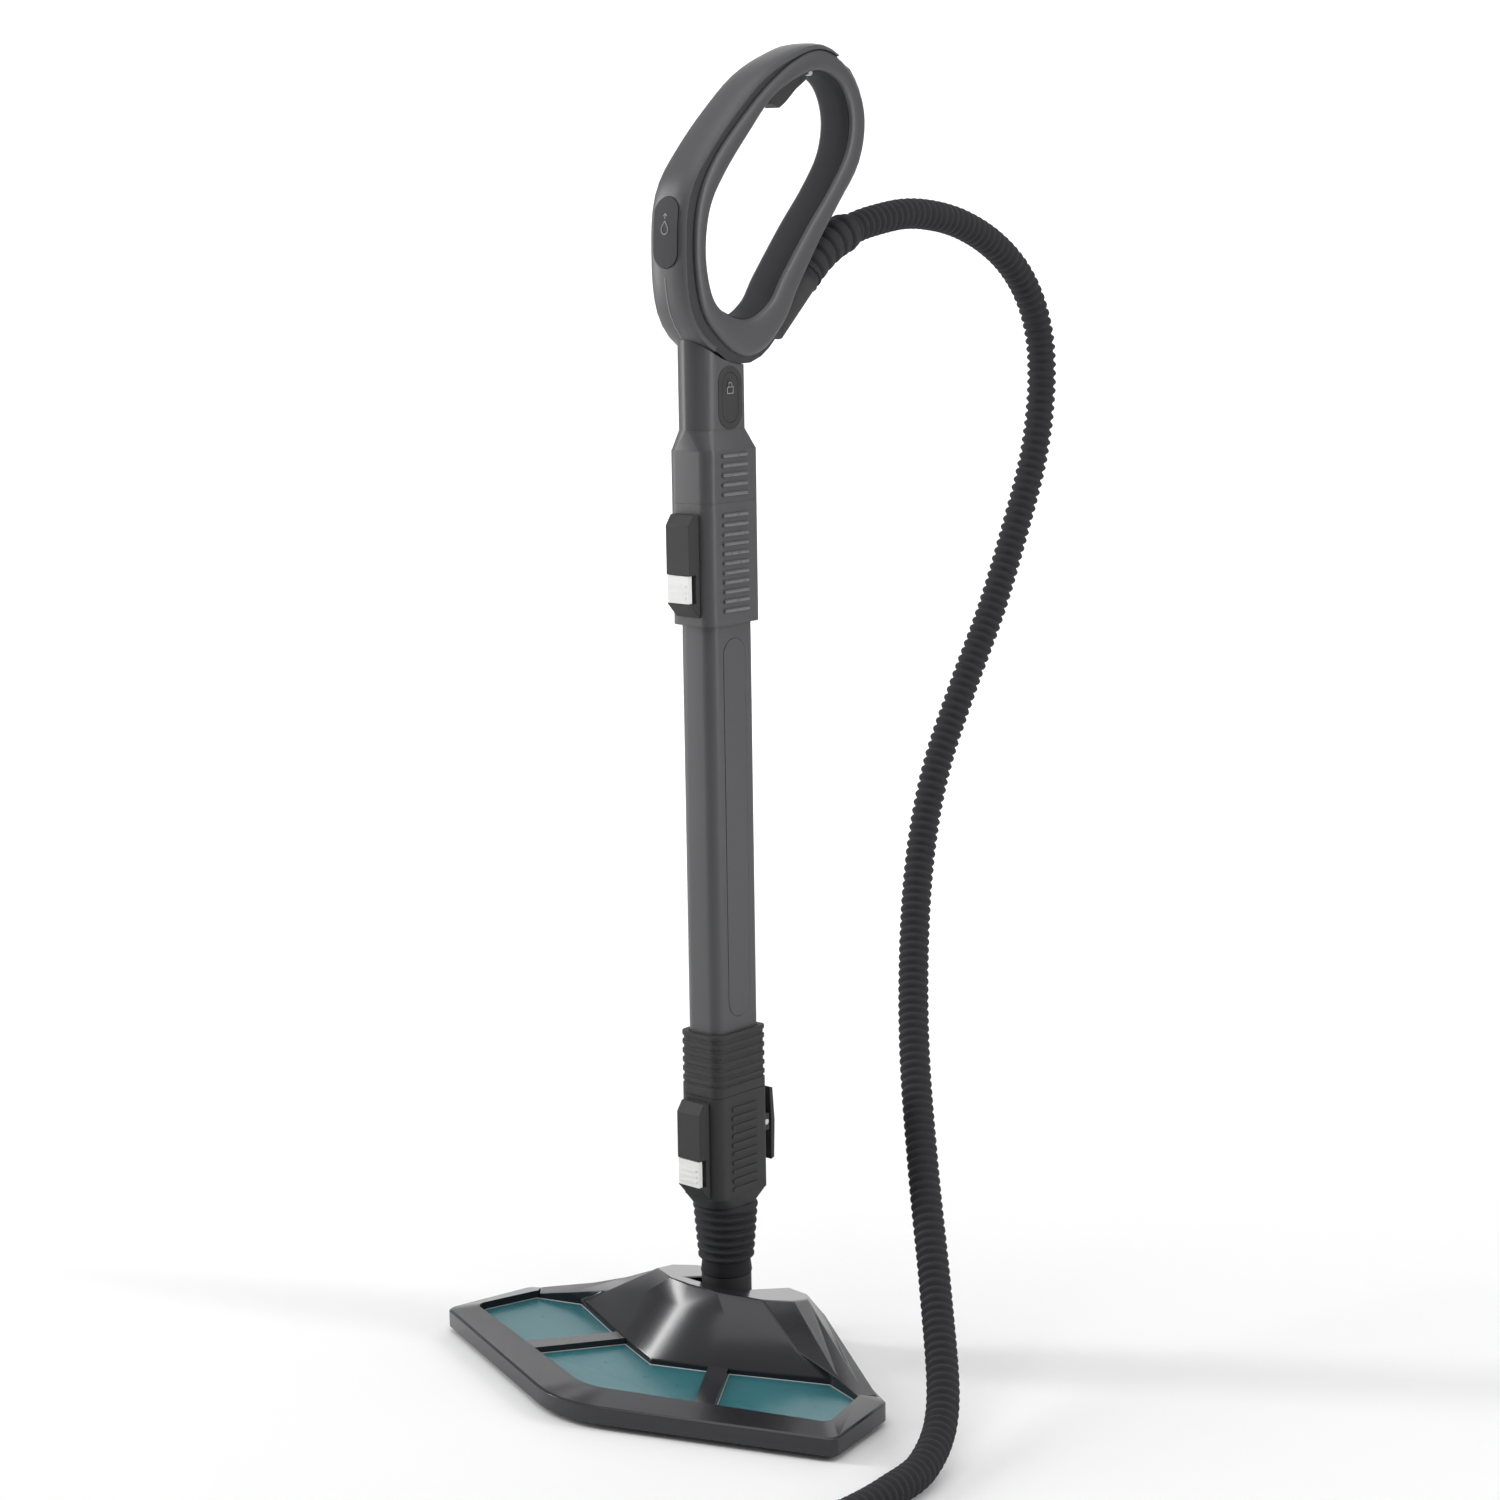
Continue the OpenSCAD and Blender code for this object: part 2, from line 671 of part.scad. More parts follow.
// Hood over a latch: a slotted block with a wedge at its foot
module hood(top, window) {
    color(black) difference() {
        translate([-hood_w / 2, 0, 0]) rotate([90, 0, 90]) linear_extrude(hood_w) polygon([
            [hood_root, top], [hood_f + 5, top], [hood_f, top - 7], [hood_f, window],
            [hood_root - 1.5, window - 10], [hood_root, window - 10]]);
        translate([-hood_w, hood_f - 1, window]) cube([2 * hood_w, hood_step - hood_f + 1, release_h]);
        spring_pocket(window);
    }
}

// White button in the slot of a hood, with a short plunger that meets the spring
module release_button(window) {
    color(white) {
        translate([1 - hood_w / 2, hood_f - 0.3, window + gap])
            cube([hood_w - 2, hood_step - hood_f - release_travel, release_h - 2 * gap]);
        translate([0, hood_step - release_travel - 0.5, window + button_mid]) rotate([-90, 0, 0])
            cylinder(h = 2.6, r = 3, $fn = 32);
        for (z = [4:4:release_h - 4]) translate([3 - hood_w / 2, hood_f - 0.8, window + z - 0.6])
            cube([hood_w - 6, 1, 1.2]);
    }
}

module latch_spring(window) {
    color(steel) translate([0, block_f + 2 - seat, window + button_mid]) rotate([90, 0, 0])
        coil_spring(spring_r, spring_wire, 3, 3);
}

module lower_hood() { hood(lower_hood_top, lower_window); }
module lower_release() { release_button(lower_window); }
module lower_spring() { latch_spring(lower_window); }
module upper_hood() { hood(upper_hood_top, upper_window); }
module upper_release() { release_button(upper_window); }
module upper_spring() { latch_spring(upper_window); }

// ---------- rear release lever ----------

lever_z = socket_z + 43;
lever_y = block_b + 7;

module lever_ears() {
    color(black) difference() {
        union() {
            translate([-11.5, block_b + seat, lever_z - 8]) cube([23, 1.6, 16]);
            for (side = [-1, 1]) translate([side * 10 - 1.5, block_b + seat, lever_z - 6]) cube([3, 9.3, 12]);
        }
        along_x(-20, lever_y, lever_z, cross_pin_r + run_gap, 40);
    }
}

module lever_pin() {
    color(steel) along_x(-11.4, lever_y, lever_z, cross_pin_r, 22.8);
}

module release_lever() {
    color(black) difference() {
        union() {
            side_plate = [[lever_y + 3.5, lever_z - 28], [lever_y + 6.5, lever_z - 27],
        [lever_y + 7.5, lever_z],
                [lever_y + 5.5, lever_z + 24], [lever_y + 2.5, lever_z + 25], [lever_y + 4, lever_z]];
            translate([-12, 0, 0]) rotate([90, 0, 90]) linear_extrude(24) polygon(side_plate);
            translate([-8, lever_y - 3.4, lever_z - 4]) cube([16, 8.4, 8]);
        }
        along_x(-20, lever_y, lever_z, cross_pin_r + run_gap, 40);
        for (side = [-1, 1])
            translate([side * 10.2 - 2.2, lever_y - 8, lever_z - 7]) cube([4.4, 11.6, 14]);
    }
}

// ---------- tube ----------

module tube() {
    color(charcoal) difference() {
        rounded_bar(tube_w, tube_f, tube_b, front_r, back_r, tube_foot, tube_tip);
        rounded_bar(tube_w - 2 * tube_wall, tube_f + tube_wall, tube_b - tube_wall,
            front_r - tube_wall, back_r - tube_wall, tube_foot - 1, tube_tip + 1);
        for (side = [-1, 1]) translate([side * tube_w / 2 - 0.7, 0, 0])
            side_pill(1.6, inlay_z, inlay_w, inlay_h, 1.4);
    }
}

module inlay(side) {
    color("#4a4a4e") translate([side * (tube_w / 2 - 0.2) - 0.4, 0, 0])
        side_pill(1.6, inlay_z, inlay_w - 2 * gap, inlay_h - 2 * gap, 0.8);
}

module inlay_left() { inlay(-1); }
module inlay_right() { inlay(1); }

module lower_collar() {
    color(black) difference() {
        union() {
            block_bar(lower_seam + seat, lower_seam + 7);
            block_bar(lower_seam + 6, collar_top, 1);
            for (i = [0:5]) let (z = lower_seam + 9 + i * rib_pitch) block_bar(z, z + rib_t);
        }
        tube_space(seat, lower_seam - 1, collar_top + 1);
    }
}

module tube_socket() {
    color(charcoal) difference() {
        union() {
            block_bar(tube_head, upper_seam);
            grip_ribs(tube_head + 8, 11);
        }
        tube_space(gap, tube_head - 1, upper_seam + 1);
        spring_pocket(upper_window);
    }
}

module seal_groove(z) {
    translate([0, 0, z]) cylinder(h = 3, r = pipe_d / 2 + 3, $fn = 48);
}

module steam_pipe() {
    color("#8a8a8a") ring_of(pipe_d / 2, pipe_d / 2 - 1.5, spigot_top + 2, neck_z + 30);
}

module seal_rings() {
    color("#a04030") for (z = [socket_z + 4, upper_seam - 40])
        ring_of(pipe_d / 2 + 2.9, pipe_d / 2 + 0.05, z + seat, z + 3 - seat);
}

// ---------- handle ----------

neck = section(neck_w, neck_f, neck_b, neck_w / 2 - 0.5, 4);
neck_inner = section(neck_w - 2 * shell_t, neck_f + shell_t, neck_b - shell_t, neck_w / 2 - 3, 2);
bezel_rim = 4;
bezel_floor = 3.8;

module handle_collar() {
    color(charcoal) difference() {
        union() {
            block_bar(upper_seam + seat, handle_z);
            loft([lift(block, handle_z), lift(neck, neck_z)]);
            tube_space(0, upper_seam - 50, upper_seam + 5);
            grip_ribs(upper_seam + 4, 5);
        }
        translate([0, 0, upper_seam - 60]) cylinder(h = 200, r = pipe_d / 2 + seat, $fn = 48);
        seal_groove(upper_seam - 40);
    }
}

// Loop of the handle: [y, z, width of the cheek, width with the front cover] from the front, clockwise
loop_path = [
    [-18, 79, 11.5, 24.5], [-13, 108, 13, 26.5], [2, 131, 14.4, 24.6], [26, 157, 12.7, 22.6],
    [50, 180, 10, 19.4], [78, 194, 12.6, 18.3], [100, 198, 14.4, 18.6], [120, 189, 13.8, 16],
    [129, 169, 16, 17.5], [125, 145, 15.5, 17], [108, 121, 13.5, 15], [84, 95, 15.5, 17],
    [57, 63, 18.5, 20], [43, 45, 20.6, 22.8], [22, 35, 25, 29.5], [0, 40, 17.5, 29],
    [-12.5, 52, 13.1, 28]];
loop = smooth_closed(loop_path, 4);
samples = len(loop);
cover_from = samples - 8;      // first and last samples of the front cover
cover_to = samples + 26;
cover_t = 2.2;
core_x = loop_w / 2 - cheek_t;

// Point of the loop at sample i, d outwards from its opening and x across
function loop_at(i, d, x) =
    let (n = samples, p = loop[i % n], a = loop[(i + n - 1) % n], b = loop[(i + 1) % n])
    let (t = unit([b[0] - a[0], b[1] - a[1]]))
    [x, p[0] - t[1] * d, loop_z + p[1] + t[0] * d];
function cheek_reach(i) = loop[i % samples][2] - gap;
function full_reach(i) = loop[i % samples][3];
function under_cover(i) = i >= cover_from - 1 || i <= cover_to - samples + 1;
function core_reach(i) = full_reach(i) - (under_cover(i) ? cover_t + gap : gap);

module cheek(side) {
    lo = core_x + 0.2;
    hi = loop_w / 2;
    color(charcoal) mirror([side < 0 ? 1 : 0, 0, 0]) difference() {
        band([for (i = [0:samples - 1]) let (c = cheek_reach(i)) [
            loop_at(i, gap, lo), loop_at(i, c, lo), loop_at(i, c, hi - 1.2),
            loop_at(i, c - 1.3, hi), loop_at(i, 1.6, hi), loop_at(i, gap, hi - 1.2)]]);
        hose_entry(seat);
    }
}

module cheek_left() { cheek(-1); }
module cheek_right() { cheek(1); }

module loop_core() {
    color(dark) difference() {
        band([for (i = [0:samples - 1]) let (r = core_reach(i)) [
            loop_at(i, 2, -core_x), loop_at(i, r, -core_x), loop_at(i, r, core_x), loop_at(i, 2, core_x)]]);
        hose_entry(2 * seat);
        trigger_slot();
        along_x(-20, trigger_at[0], trigger_at[1], cross_pin_r + run_gap, 40);
        steam_prism(gap, -60, steam_floor);
    }
}

module grip_liner() {
    x = core_x;
    color("#222224") difference() {
        band([for (i = [0:samples - 1]) [
            loop_at(i, 1.7, -x), loop_at(i, 1.7, x), loop_at(i, -0.6, x - 1.5), loop_at(i, -2.2, x / 2),
            loop_at(i, -2.8, 0), loop_at(i, -2.2, -x / 2), loop_at(i, -0.6, 1.5 - x)]]);
        trigger_slot();
        along_x(-20, trigger_at[0], trigger_at[1], cross_pin_r + run_gap, 40);
    }
}

// Front cover: a shallow channel that caps the core from the neck over the top
function cover_ring(i, proud, inner) =
    let (o = full_reach(i) + proud, lip = max(o - 4.6, cheek_reach(i) + 2 * gap), h = loop_w / 2)
    let (side = [[lip, h - 0.4], [o - 3, h], [o - 1.4, h - 0.8], [o - 0.4, h - 4], [o, h * 0.3]])
    concat([[inner, -core_x - gap], [lip, -core_x - gap]], [for (q = side) [q[0], -q[1]]],
        [for (j = [4:-1:0]) side[j]], [[lip, core_x + gap], [inner, core_x + gap]]);

module cover_band(proud, thick) {
    loft([for (i = [cover_from:cover_to])
        [for (q = cover_ring(i, proud, full_reach(i) - thick)) loop_at(i, q[0], q[1])]]);
}

module front_cover() {
    color(charcoal) difference() {
        cover_band(0, cover_t);
        steam_prism(gap, -60, 40);
    }
}

module steam_prism(grow, y0, y1) {
    r = steam_w / 2;
    translate([0, y1, steam_z]) rotate([90, 0, 0]) linear_extrude(y1 - y0) {
        square([2 * r + 2 * grow, steam_h - 2 * r], center = true);
        for (s = [-1, 1]) translate([0, s * (steam_h / 2 - r)]) circle(r + grow, $fn = 48);
    }
}

steam_z = loop_z + 70 + steam_h / 2;
steam_floor = -29;

module steam_button() {
    color(dark) intersection() {
        cover_band(0.9, 7);
        steam_prism(0, -60, steam_floor - steam_travel - gap);
    }
}

// Neck below the loop, its top following the underside of the loop
module neck_shell() {
    color(charcoal) difference() {
        slab(neck, neck_z + seat, loop_z + 48);
        slab(neck_inner, neck_z, neck_z + 38);
        translate([-loop_w, 0, 0]) rotate([90, 0, 90]) linear_extrude(2 * loop_w)
            polygon([for (i = [0:samples - 1]) let (p = loop_at(i, full_reach(i) + 0.1, 0)) [p[1], p[2]]]);
        side_pill(lock_y, lock_z, lock_w + 2 * (bezel_rim + seat),
            lock_h + 2 * (bezel_rim + seat) + 1, neck_w);
    }
}

module lock_bezel() {
    color(black) difference() {
        translate([bezel_x, 0, 0])
            side_pill(lock_y, lock_z, lock_w + 2 * bezel_rim,
                lock_h + 2 * bezel_rim + 1, neck_w / 2 - bezel_x + 0.3);
        translate([bezel_x + bezel_floor, 0, 0])
            side_pill(lock_y, lock_z, lock_w + 2 * gap, lock_h + 2 * gap, neck_w);
        along_x(bezel_x + 0.8, lock_y, lock_z, pocket_r, 10);
    }
}

module lock_button() {
    color(black) translate([bezel_x + bezel_floor + lock_travel + gap, 0, 0]) {
        side_pill(lock_y, lock_z, lock_w, lock_h, 3);
        difference() {
            translate([2.9, 0, 0]) side_pill(lock_y, lock_z + lock_h / 2 - 8, 6, 8, 0.5);
            translate([2, 0, 0]) side_pill(lock_y, lock_z + lock_h / 2 - 8, 3.4, 5.4, 2);
        }
    }
}

module lock_spring() {
    color(steel) translate([bezel_x + 0.9, lock_y, lock_z]) rotate([0, 90, 0])
        coil_spring(spring_r, spring_wire, 2.8, 3);
}

module trigger_slot() {
    translate([-6.4, trigger_at[0], trigger_at[1]]) rotate([90, 0, 90]) linear_extrude(12.8)
        polygon([[-trigger_l, -34], [-trigger_l, -1], [-18, 6], [8, 7], [8, -34]]);
}

module trigger() {
    l = trigger_l - 4;
    color(black) translate([-6, trigger_at[0], trigger_at[1]]) difference() {
        rotate([90, 0, 90]) linear_extrude(12) polygon([[-l, -8], [-l, -15], [3 - l, -21], [11 - l, -23.5],
            [-19, -20], [-8, -11], [2, -5], [5, 0], [4, 4], [-4, 4], [-16, 0]]);
        along_x(-10, 0, 0, cross_pin_r + run_gap, 30);
    }
}

module trigger_pin() {
    color(steel) along_x(0.2 - core_x, trigger_at[0], trigger_at[1], cross_pin_r, 2 * core_x - 0.4);
}

module trigger_spring() {
    color(steel) translate([0, trigger_at[0] - trigger_l + 10, trigger_at[1] - 4.2])
        coil_spring(2.2, 0.35, 4.9, 4);
}

// ---------- hose ----------

boss_end = [90, loop_z + 59];
boss_tilt = 48;
elbow_r = 108;
elbow = boss_end + elbow_r * [sin(boss_tilt), -cos(boss_tilt)];
cuff_turn = cuff_l / elbow_r * 180 / PI;
cuff_from = 90 + boss_tilt;
cuff_r = hose_d / 2 + 1.4;
boss_r = hose_d / 2 + 1.4;

module elbow_arc(from, turn, r) {
    translate([0, elbow[0], elbow[1]]) rotate([90, 0, 90]) rotate([0, 0, from - turn])
        rotate_extrude(angle = turn, $fn = 256) translate([elbow_r, 0]) circle(r, $fn = 48);
}

module boss_bar(r, l) {
    translate([0, boss_end[0], boss_end[1]]) rotate([90 + boss_tilt, 0, 0])
        cylinder(h = l, r1 = r, r2 = 0.75 * r, $fn = 48);
}

module hose_entry(grow) {
    boss_bar(boss_r + grow, 45 + grow);
    boss_bar(boss_r + 1 + grow, 6 + grow);
    elbow_arc(cuff_from, 18, cuff_r + 1.3 + grow);
}

module hose_boss() {
    color(black) {
        boss_bar(boss_r, 45);
        boss_bar(boss_r + 1, 6);
    }
}

module hose_cuff() {
    step = cuff_turn / (cuff_ribs + 2);
    color(black) {
        elbow_arc(cuff_from - 0.06, cuff_turn - 0.06, cuff_r);
        for (i = [0:cuff_ribs - 1]) elbow_arc(cuff_from - (i + 1.5) * step, step * 0.55, cuff_r + 1.3);
    }
}

cuff_end = elbow + elbow_r * [cos(cuff_from - cuff_turn), sin(cuff_from - cuff_turn)];

// Route of the hose: hand-chosen points from the cuff to the floor, then one turn of a coil
route_top = 778;
route = [
    [0, cuff_end[0], route_top], [0, 166, 784], [0, 212, 789], [0, 264, 782], [0, 311, 763], [0, 345, 735],
    [0, 364, 698], [0, 367, 655], [0, 357, 605], [0, 333, 550], [0, 305, 495], [0, 270, 440],
    [2, 236, 385], [12, 205, 330], [35, 168, 270], [72, 122, 205], [120, 72, 138], [172, 20, 76],
    [222, -36, 30], [246, -84, 13], [254, -130, 11], [256, -170, 11], [252, -204, 11]];
drop = (cuff_end[1] - hose_d / 2) / (route_top - hose_d / 2);
coil_r = 5.5 * hose_d;
coil_at = [365, -254];
coil_in = 165;                           // where the hose joins its coil, in degrees
curl_from = coil_in - 86;                // where its tail turns inwards off the coil
curl_turn = 120;
curl_r = 4.2 * hose_d;
curl_mid = coil_at + (coil_r - curl_r) * [cos(curl_from), sin(curl_from)];
curl_len = curl_r * curl_turn * PI / 180;
plug_way = curl_from + curl_turn + 90;   // heading of the connector
tail_len = curl_len + 50;
rise_from = 40;
plug_r = 17;
plug_z = hose_d + plug_r;                // the connector lies on the coil
spigot_l = 18;                           // plain end that goes into the steam unit

// Point of the tail, s along it from the coil
function tail_pt(s) =
    let (a = curl_from + min(s, curl_len) / curl_r * 180 / PI, on = max(0, s - curl_len))
    let (p = curl_mid + curl_r * [cos(a), sin(a)] + on * [cos(plug_way), sin(plug_way)])
    let (t = (s - rise_from) / (tail_len - rise_from))
    [p[0], p[1], mix(hose_d / 2, plug_z, t * t * (3 - 2 * t))];

module hose_tube() {
    sides = 12;
    color(black) {
        sweep(smooth_open([for (p = route) [p[0], p[1], hose_d / 2 + (p[2] - hose_d / 2) * drop]], 2),
            hose_d / 2, sides, [1, 0, 0]);
        sweep([for (i = [0:12]) tail_pt(mix(rise_from, tail_len, i / 12))], hose_d / 2, sides, [0, 0, 1]);
    }
}

module hose_coil() {
    color(black) translate([coil_at[0], coil_at[1], 0])
        ring_of(coil_r + hose_d / 2, coil_r - 1.1 * hose_d, 0, hose_d);
}

module hose_connector() {
    neck_l = 16;
    waist_l = 5;
    color(black) translate(tail_pt(tail_len)) rotate([0, 0, plug_way]) {
        along_x(seat, 0, 0, hose_d / 2 + 2, neck_l);
        along_x(neck_l, 0, 0, plug_r, connector_l - neck_l - waist_l - spigot_l + 1);
        along_x(connector_l - waist_l - spigot_l, 0, 0, 12, waist_l);
        along_x(connector_l - spigot_l, 0, 0, 8.5, spigot_l);
    }
}

base_frame();
sole_plate();
dome_cover();
window_left();
window_right();
window_nose();
steam_duct();
bristles_front();
bristles_rear();
floor_strip();
hook_strips();
bearing_cap_left();
bearing_cap_right();
pivot_pins();
brush_screws();
yoke();
retaining_ring();
stem_seal();
neck_boot();
brush_socket();
lower_hood();
lower_spring();
lower_collar();
tube();
inlay_left();
inlay_right();
tube_socket();
upper_hood();
upper_spring();
steam_pipe();
seal_rings();
handle_collar();
neck_shell();
lock_bezel();
lock_spring();
loop_core();
cheek_left();
cheek_right();
front_cover();
grip_liner();
trigger_pin();
trigger_spring();
hose_boss();
hose_cuff();
lever_ears();
lever_pin();
hose_tube();
hose_coil();
hose_connector();
lower_release();
upper_release();
lock_button();
steam_button();
trigger();
release_lever();
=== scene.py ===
"""Steam floor mop: finishes, hose, handle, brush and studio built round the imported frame."""

from __future__ import annotations

import json
import logging
import math
from collections.abc import Callable
from dataclasses import dataclass, field
from enum import Enum

import bmesh
import bpy
from mathutils import Matrix, Vector
from mathutils.bvhtree import BVHTree

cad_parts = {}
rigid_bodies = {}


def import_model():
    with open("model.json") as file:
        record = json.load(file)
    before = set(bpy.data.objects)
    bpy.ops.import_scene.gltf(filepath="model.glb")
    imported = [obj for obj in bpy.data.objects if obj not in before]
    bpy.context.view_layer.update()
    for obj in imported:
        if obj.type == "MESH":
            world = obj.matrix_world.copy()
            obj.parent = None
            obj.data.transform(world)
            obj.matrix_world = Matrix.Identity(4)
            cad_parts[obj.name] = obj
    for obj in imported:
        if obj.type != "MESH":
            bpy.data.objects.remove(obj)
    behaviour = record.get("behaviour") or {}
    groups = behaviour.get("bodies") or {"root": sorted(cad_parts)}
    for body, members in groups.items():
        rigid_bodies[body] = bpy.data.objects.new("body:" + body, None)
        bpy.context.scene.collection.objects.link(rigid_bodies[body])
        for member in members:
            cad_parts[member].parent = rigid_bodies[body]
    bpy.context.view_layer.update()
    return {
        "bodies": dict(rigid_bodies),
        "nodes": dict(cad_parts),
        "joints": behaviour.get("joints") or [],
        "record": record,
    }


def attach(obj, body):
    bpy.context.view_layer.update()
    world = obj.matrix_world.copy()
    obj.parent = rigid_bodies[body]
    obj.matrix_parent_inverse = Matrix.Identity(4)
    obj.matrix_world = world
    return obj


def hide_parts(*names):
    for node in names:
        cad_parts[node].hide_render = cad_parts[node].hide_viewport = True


log = logging.getLogger("steam_mop")
Colour = tuple[float, float, float]
Point = tuple[float, float, float]
Piece = bpy.types.Object
Nodes = dict[str, Piece]
Socket = bpy.types.NodeSocket
STRAND_SIDES = 5
SHARP_ANGLE = 0.6
EDGE_WIDTH = 0.0004


# ---------------------------------------------------------------- materials


def put(node: bpy.types.Node, **values: object) -> None:
    """Set constants on a node's inputs, named with underscores for spaces."""
    for key, value in values.items():
        node.inputs[key.replace("_", " ")].default_value = value


class Graph:
    """A node tree with short helpers for adding nodes and joining them."""

    tree: bpy.types.NodeTree

    def add(self, kind: str, **values: object) -> bpy.types.Node:
        """Add a node and set its properties.

        Args:
            kind: the node's type.
            values: properties by name.

        Returns:
            The new node.
        """
        node = self.tree.nodes.new(kind)
        for key, value in values.items():
            setattr(node, key, value)
        return node

    def link(self, source: Socket, target: Socket) -> None:
        """Join two sockets."""
        self.tree.links.new(source, target)

    def join(
        self, source: bpy.types.Node, out: str, target: bpy.types.Node, into: str | None = None
    ) -> None:
        """Link a node's output to another node's input, of the same name if none is given."""
        self.link(source.outputs[out], target.inputs[into or out])


class Sheet(Graph):
    """One material's node tree, with helpers for the nodes that the finishes share."""

    def __init__(self, name: str) -> None:
        """Start a material with a Principled shader joined to its output.

        Args:
            name: the material's name.
        """
        self.material = bpy.data.materials.new(name)
        self.material.use_nodes = True
        self.tree = self.material.node_tree
        self.tree.nodes.clear()
        self.output = self.add("ShaderNodeOutputMaterial")
        self.shader = self.add("ShaderNodeBsdfPrincipled")
        self.join(self.shader, "BSDF", self.output, "Surface")
        self.place = self.add("ShaderNodeTexCoord").outputs["Object"]

    def set(self, **values: object) -> None:
        """Set constants on the shader's own sockets."""
        put(self.shader, **values)

    def feed(self, **sockets: Socket) -> None:
        """Link sockets to the shader's own, named with underscores for spaces."""
        for key, socket in sockets.items():
            self.link(socket, self.shader.inputs[key.replace("_", " ")])

    def stretched(self, scale: Point) -> Socket:
        """Return Object coordinates scaled along each axis."""
        node = self.add("ShaderNodeMapping")
        put(node, Scale=scale)
        self.link(self.place, node.inputs["Vector"])
        return node.outputs["Vector"]

    def noise(
        self,
        scale: float,
        detail: float = 3.0,
        at: Socket | None = None,
    ) -> Socket:
        """Add a noise pattern.

        Args:
            scale: cells in a metre.
            detail: layers of finer noise.
            at: coordinates, or None for Object coordinates.

        Returns:
            The pattern's value socket.
        """
        node = self.add("ShaderNodeTexNoise")
        put(node, Scale=scale, Detail=detail)
        self.link(at or self.place, node.inputs["Vector"])
        return node.outputs["Fac"]

    def spread(
        self, value: Socket, low: float, high: float
    ) -> Socket:
        """Map the middle of a pattern to a range.

        Args:
            value: the pattern.
            low: result where the pattern is low.
            high: result where it is high.

        Returns:
            The mapped value.
        """
        node = self.add("ShaderNodeMapRange")
        put(node, From_Min=0.3, From_Max=0.7, To_Min=low, To_Max=high)
        self.link(value, node.inputs["Value"])
        return node.outputs["Result"]

    def blend(
        self, value: Socket, first: Colour, second: Colour
    ) -> Socket:
        """Mix two colours by a pattern and return the colour socket."""
        node = self.add("ShaderNodeMix", data_type="RGBA")
        put(node, A=(*first, 1), B=(*second, 1))
        self.link(value, node.inputs["Factor"])
        return node.outputs["Result"]

    def relief(
        self,
        height: Socket,
        depth: float,
        under: Socket | None = None,
    ) -> Socket:
        """Turn a height pattern into a bent normal.

        Args:
            height: the pattern.
            depth: its depth in metres.
            under: a normal to add it to.

        Returns:
            The normal socket.
        """
        node = self.add("ShaderNodeBump")
        put(node, Strength=1.0, Distance=depth)
        self.link(height, node.inputs["Height"])
        if under:
            self.link(under, node.inputs["Normal"])
        return node.outputs["Normal"]

    def soft_edge(self, radius: float) -> Socket:
        """Return a normal that rounds edges by a small radius."""
        node = self.add("ShaderNodeBevel", samples=4)
        put(node, Radius=radius)
        return node.outputs["Normal"]


@dataclass(frozen=True)
class Plastic:
    """Moulded plastic or rubber: a colour with faint mottling, a grain and softened edges."""

    name: str
    colour: Colour
    roughness: float
    spread: float = 0.05
    grain: float = 2600.0
    depth: float = 0.000004
    mottle: float = 0.12
    edge: float = 0.0004
    specular: float = 0.22
    coat: float = 0.0
    sheen: float = 0.0

    def build(self) -> bpy.types.Material:
        """Make and return the material."""
        sheet = Sheet(self.name)
        light = tuple(min(1.0, c * (1 + self.mottle)) for c in self.colour)
        deep = tuple(c * (1 - self.mottle) for c in self.colour)
        cloud = sheet.noise(38, 4)
        sheet.feed(Base_Color=sheet.blend(cloud, deep, light))
        wear = sheet.noise(160, 5)
        rough = sheet.spread(
            wear, max(0.02, self.roughness - self.spread), self.roughness + self.spread
        )
        sheet.feed(Roughness=rough)
        grain = sheet.noise(self.grain, 2)
        normal = sheet.relief(grain, self.depth, sheet.soft_edge(self.edge))
        sheet.feed(Normal=normal)
        sheet.set(
            Specular_IOR_Level=self.specular,
            Coat_Weight=self.coat,
            Coat_Roughness=0.04,
            Sheen_Weight=self.sheen,
        )
        return sheet.material


@dataclass(frozen=True)
class TintedWindow:
    """Clear tinted panel over the brush's inside."""

    name: str
    colour: Colour

    def build(self) -> bpy.types.Material:
        """Make and return the material."""
        sheet = Sheet(self.name)
        cloud = sheet.noise(9, 2)
        deep = tuple(c * 0.75 for c in self.colour)
        sheet.feed(Base_Color=sheet.blend(cloud, deep, self.colour))
        rough = sheet.spread(sheet.noise(70, 4), 0.03, 0.09)
        sheet.feed(Roughness=rough)
        sheet.feed(Normal=sheet.relief(sheet.noise(28, 1), 0.0004, sheet.soft_edge(0.0005)))
        sheet.set(Transmission_Weight=0.3, IOR=1.45, Specular_IOR_Level=0.03)
        return sheet.material


@dataclass(frozen=True)
class DrawnSteel:
    """Bright steel with faint drawing lines along its length."""

    name: str
    colour: Colour = (0.62, 0.63, 0.65)
    roughness: float = 0.24

    def build(self) -> bpy.types.Material:
        """Make and return the material."""
        sheet = Sheet(self.name)
        lines = sheet.noise(900, 3, sheet.stretched((1.0, 1.0, 0.05)))
        deep = tuple(c * 0.85 for c in self.colour)
        sheet.feed(Base_Color=sheet.blend(lines, deep, self.colour))
        rough = sheet.spread(lines, self.roughness - 0.06, self.roughness + 0.08)
        sheet.feed(Roughness=rough)
        sheet.feed(Normal=sheet.relief(lines, 0.00001, sheet.soft_edge(0.0002)))
        sheet.set(Metallic=1.0)
        return sheet.material


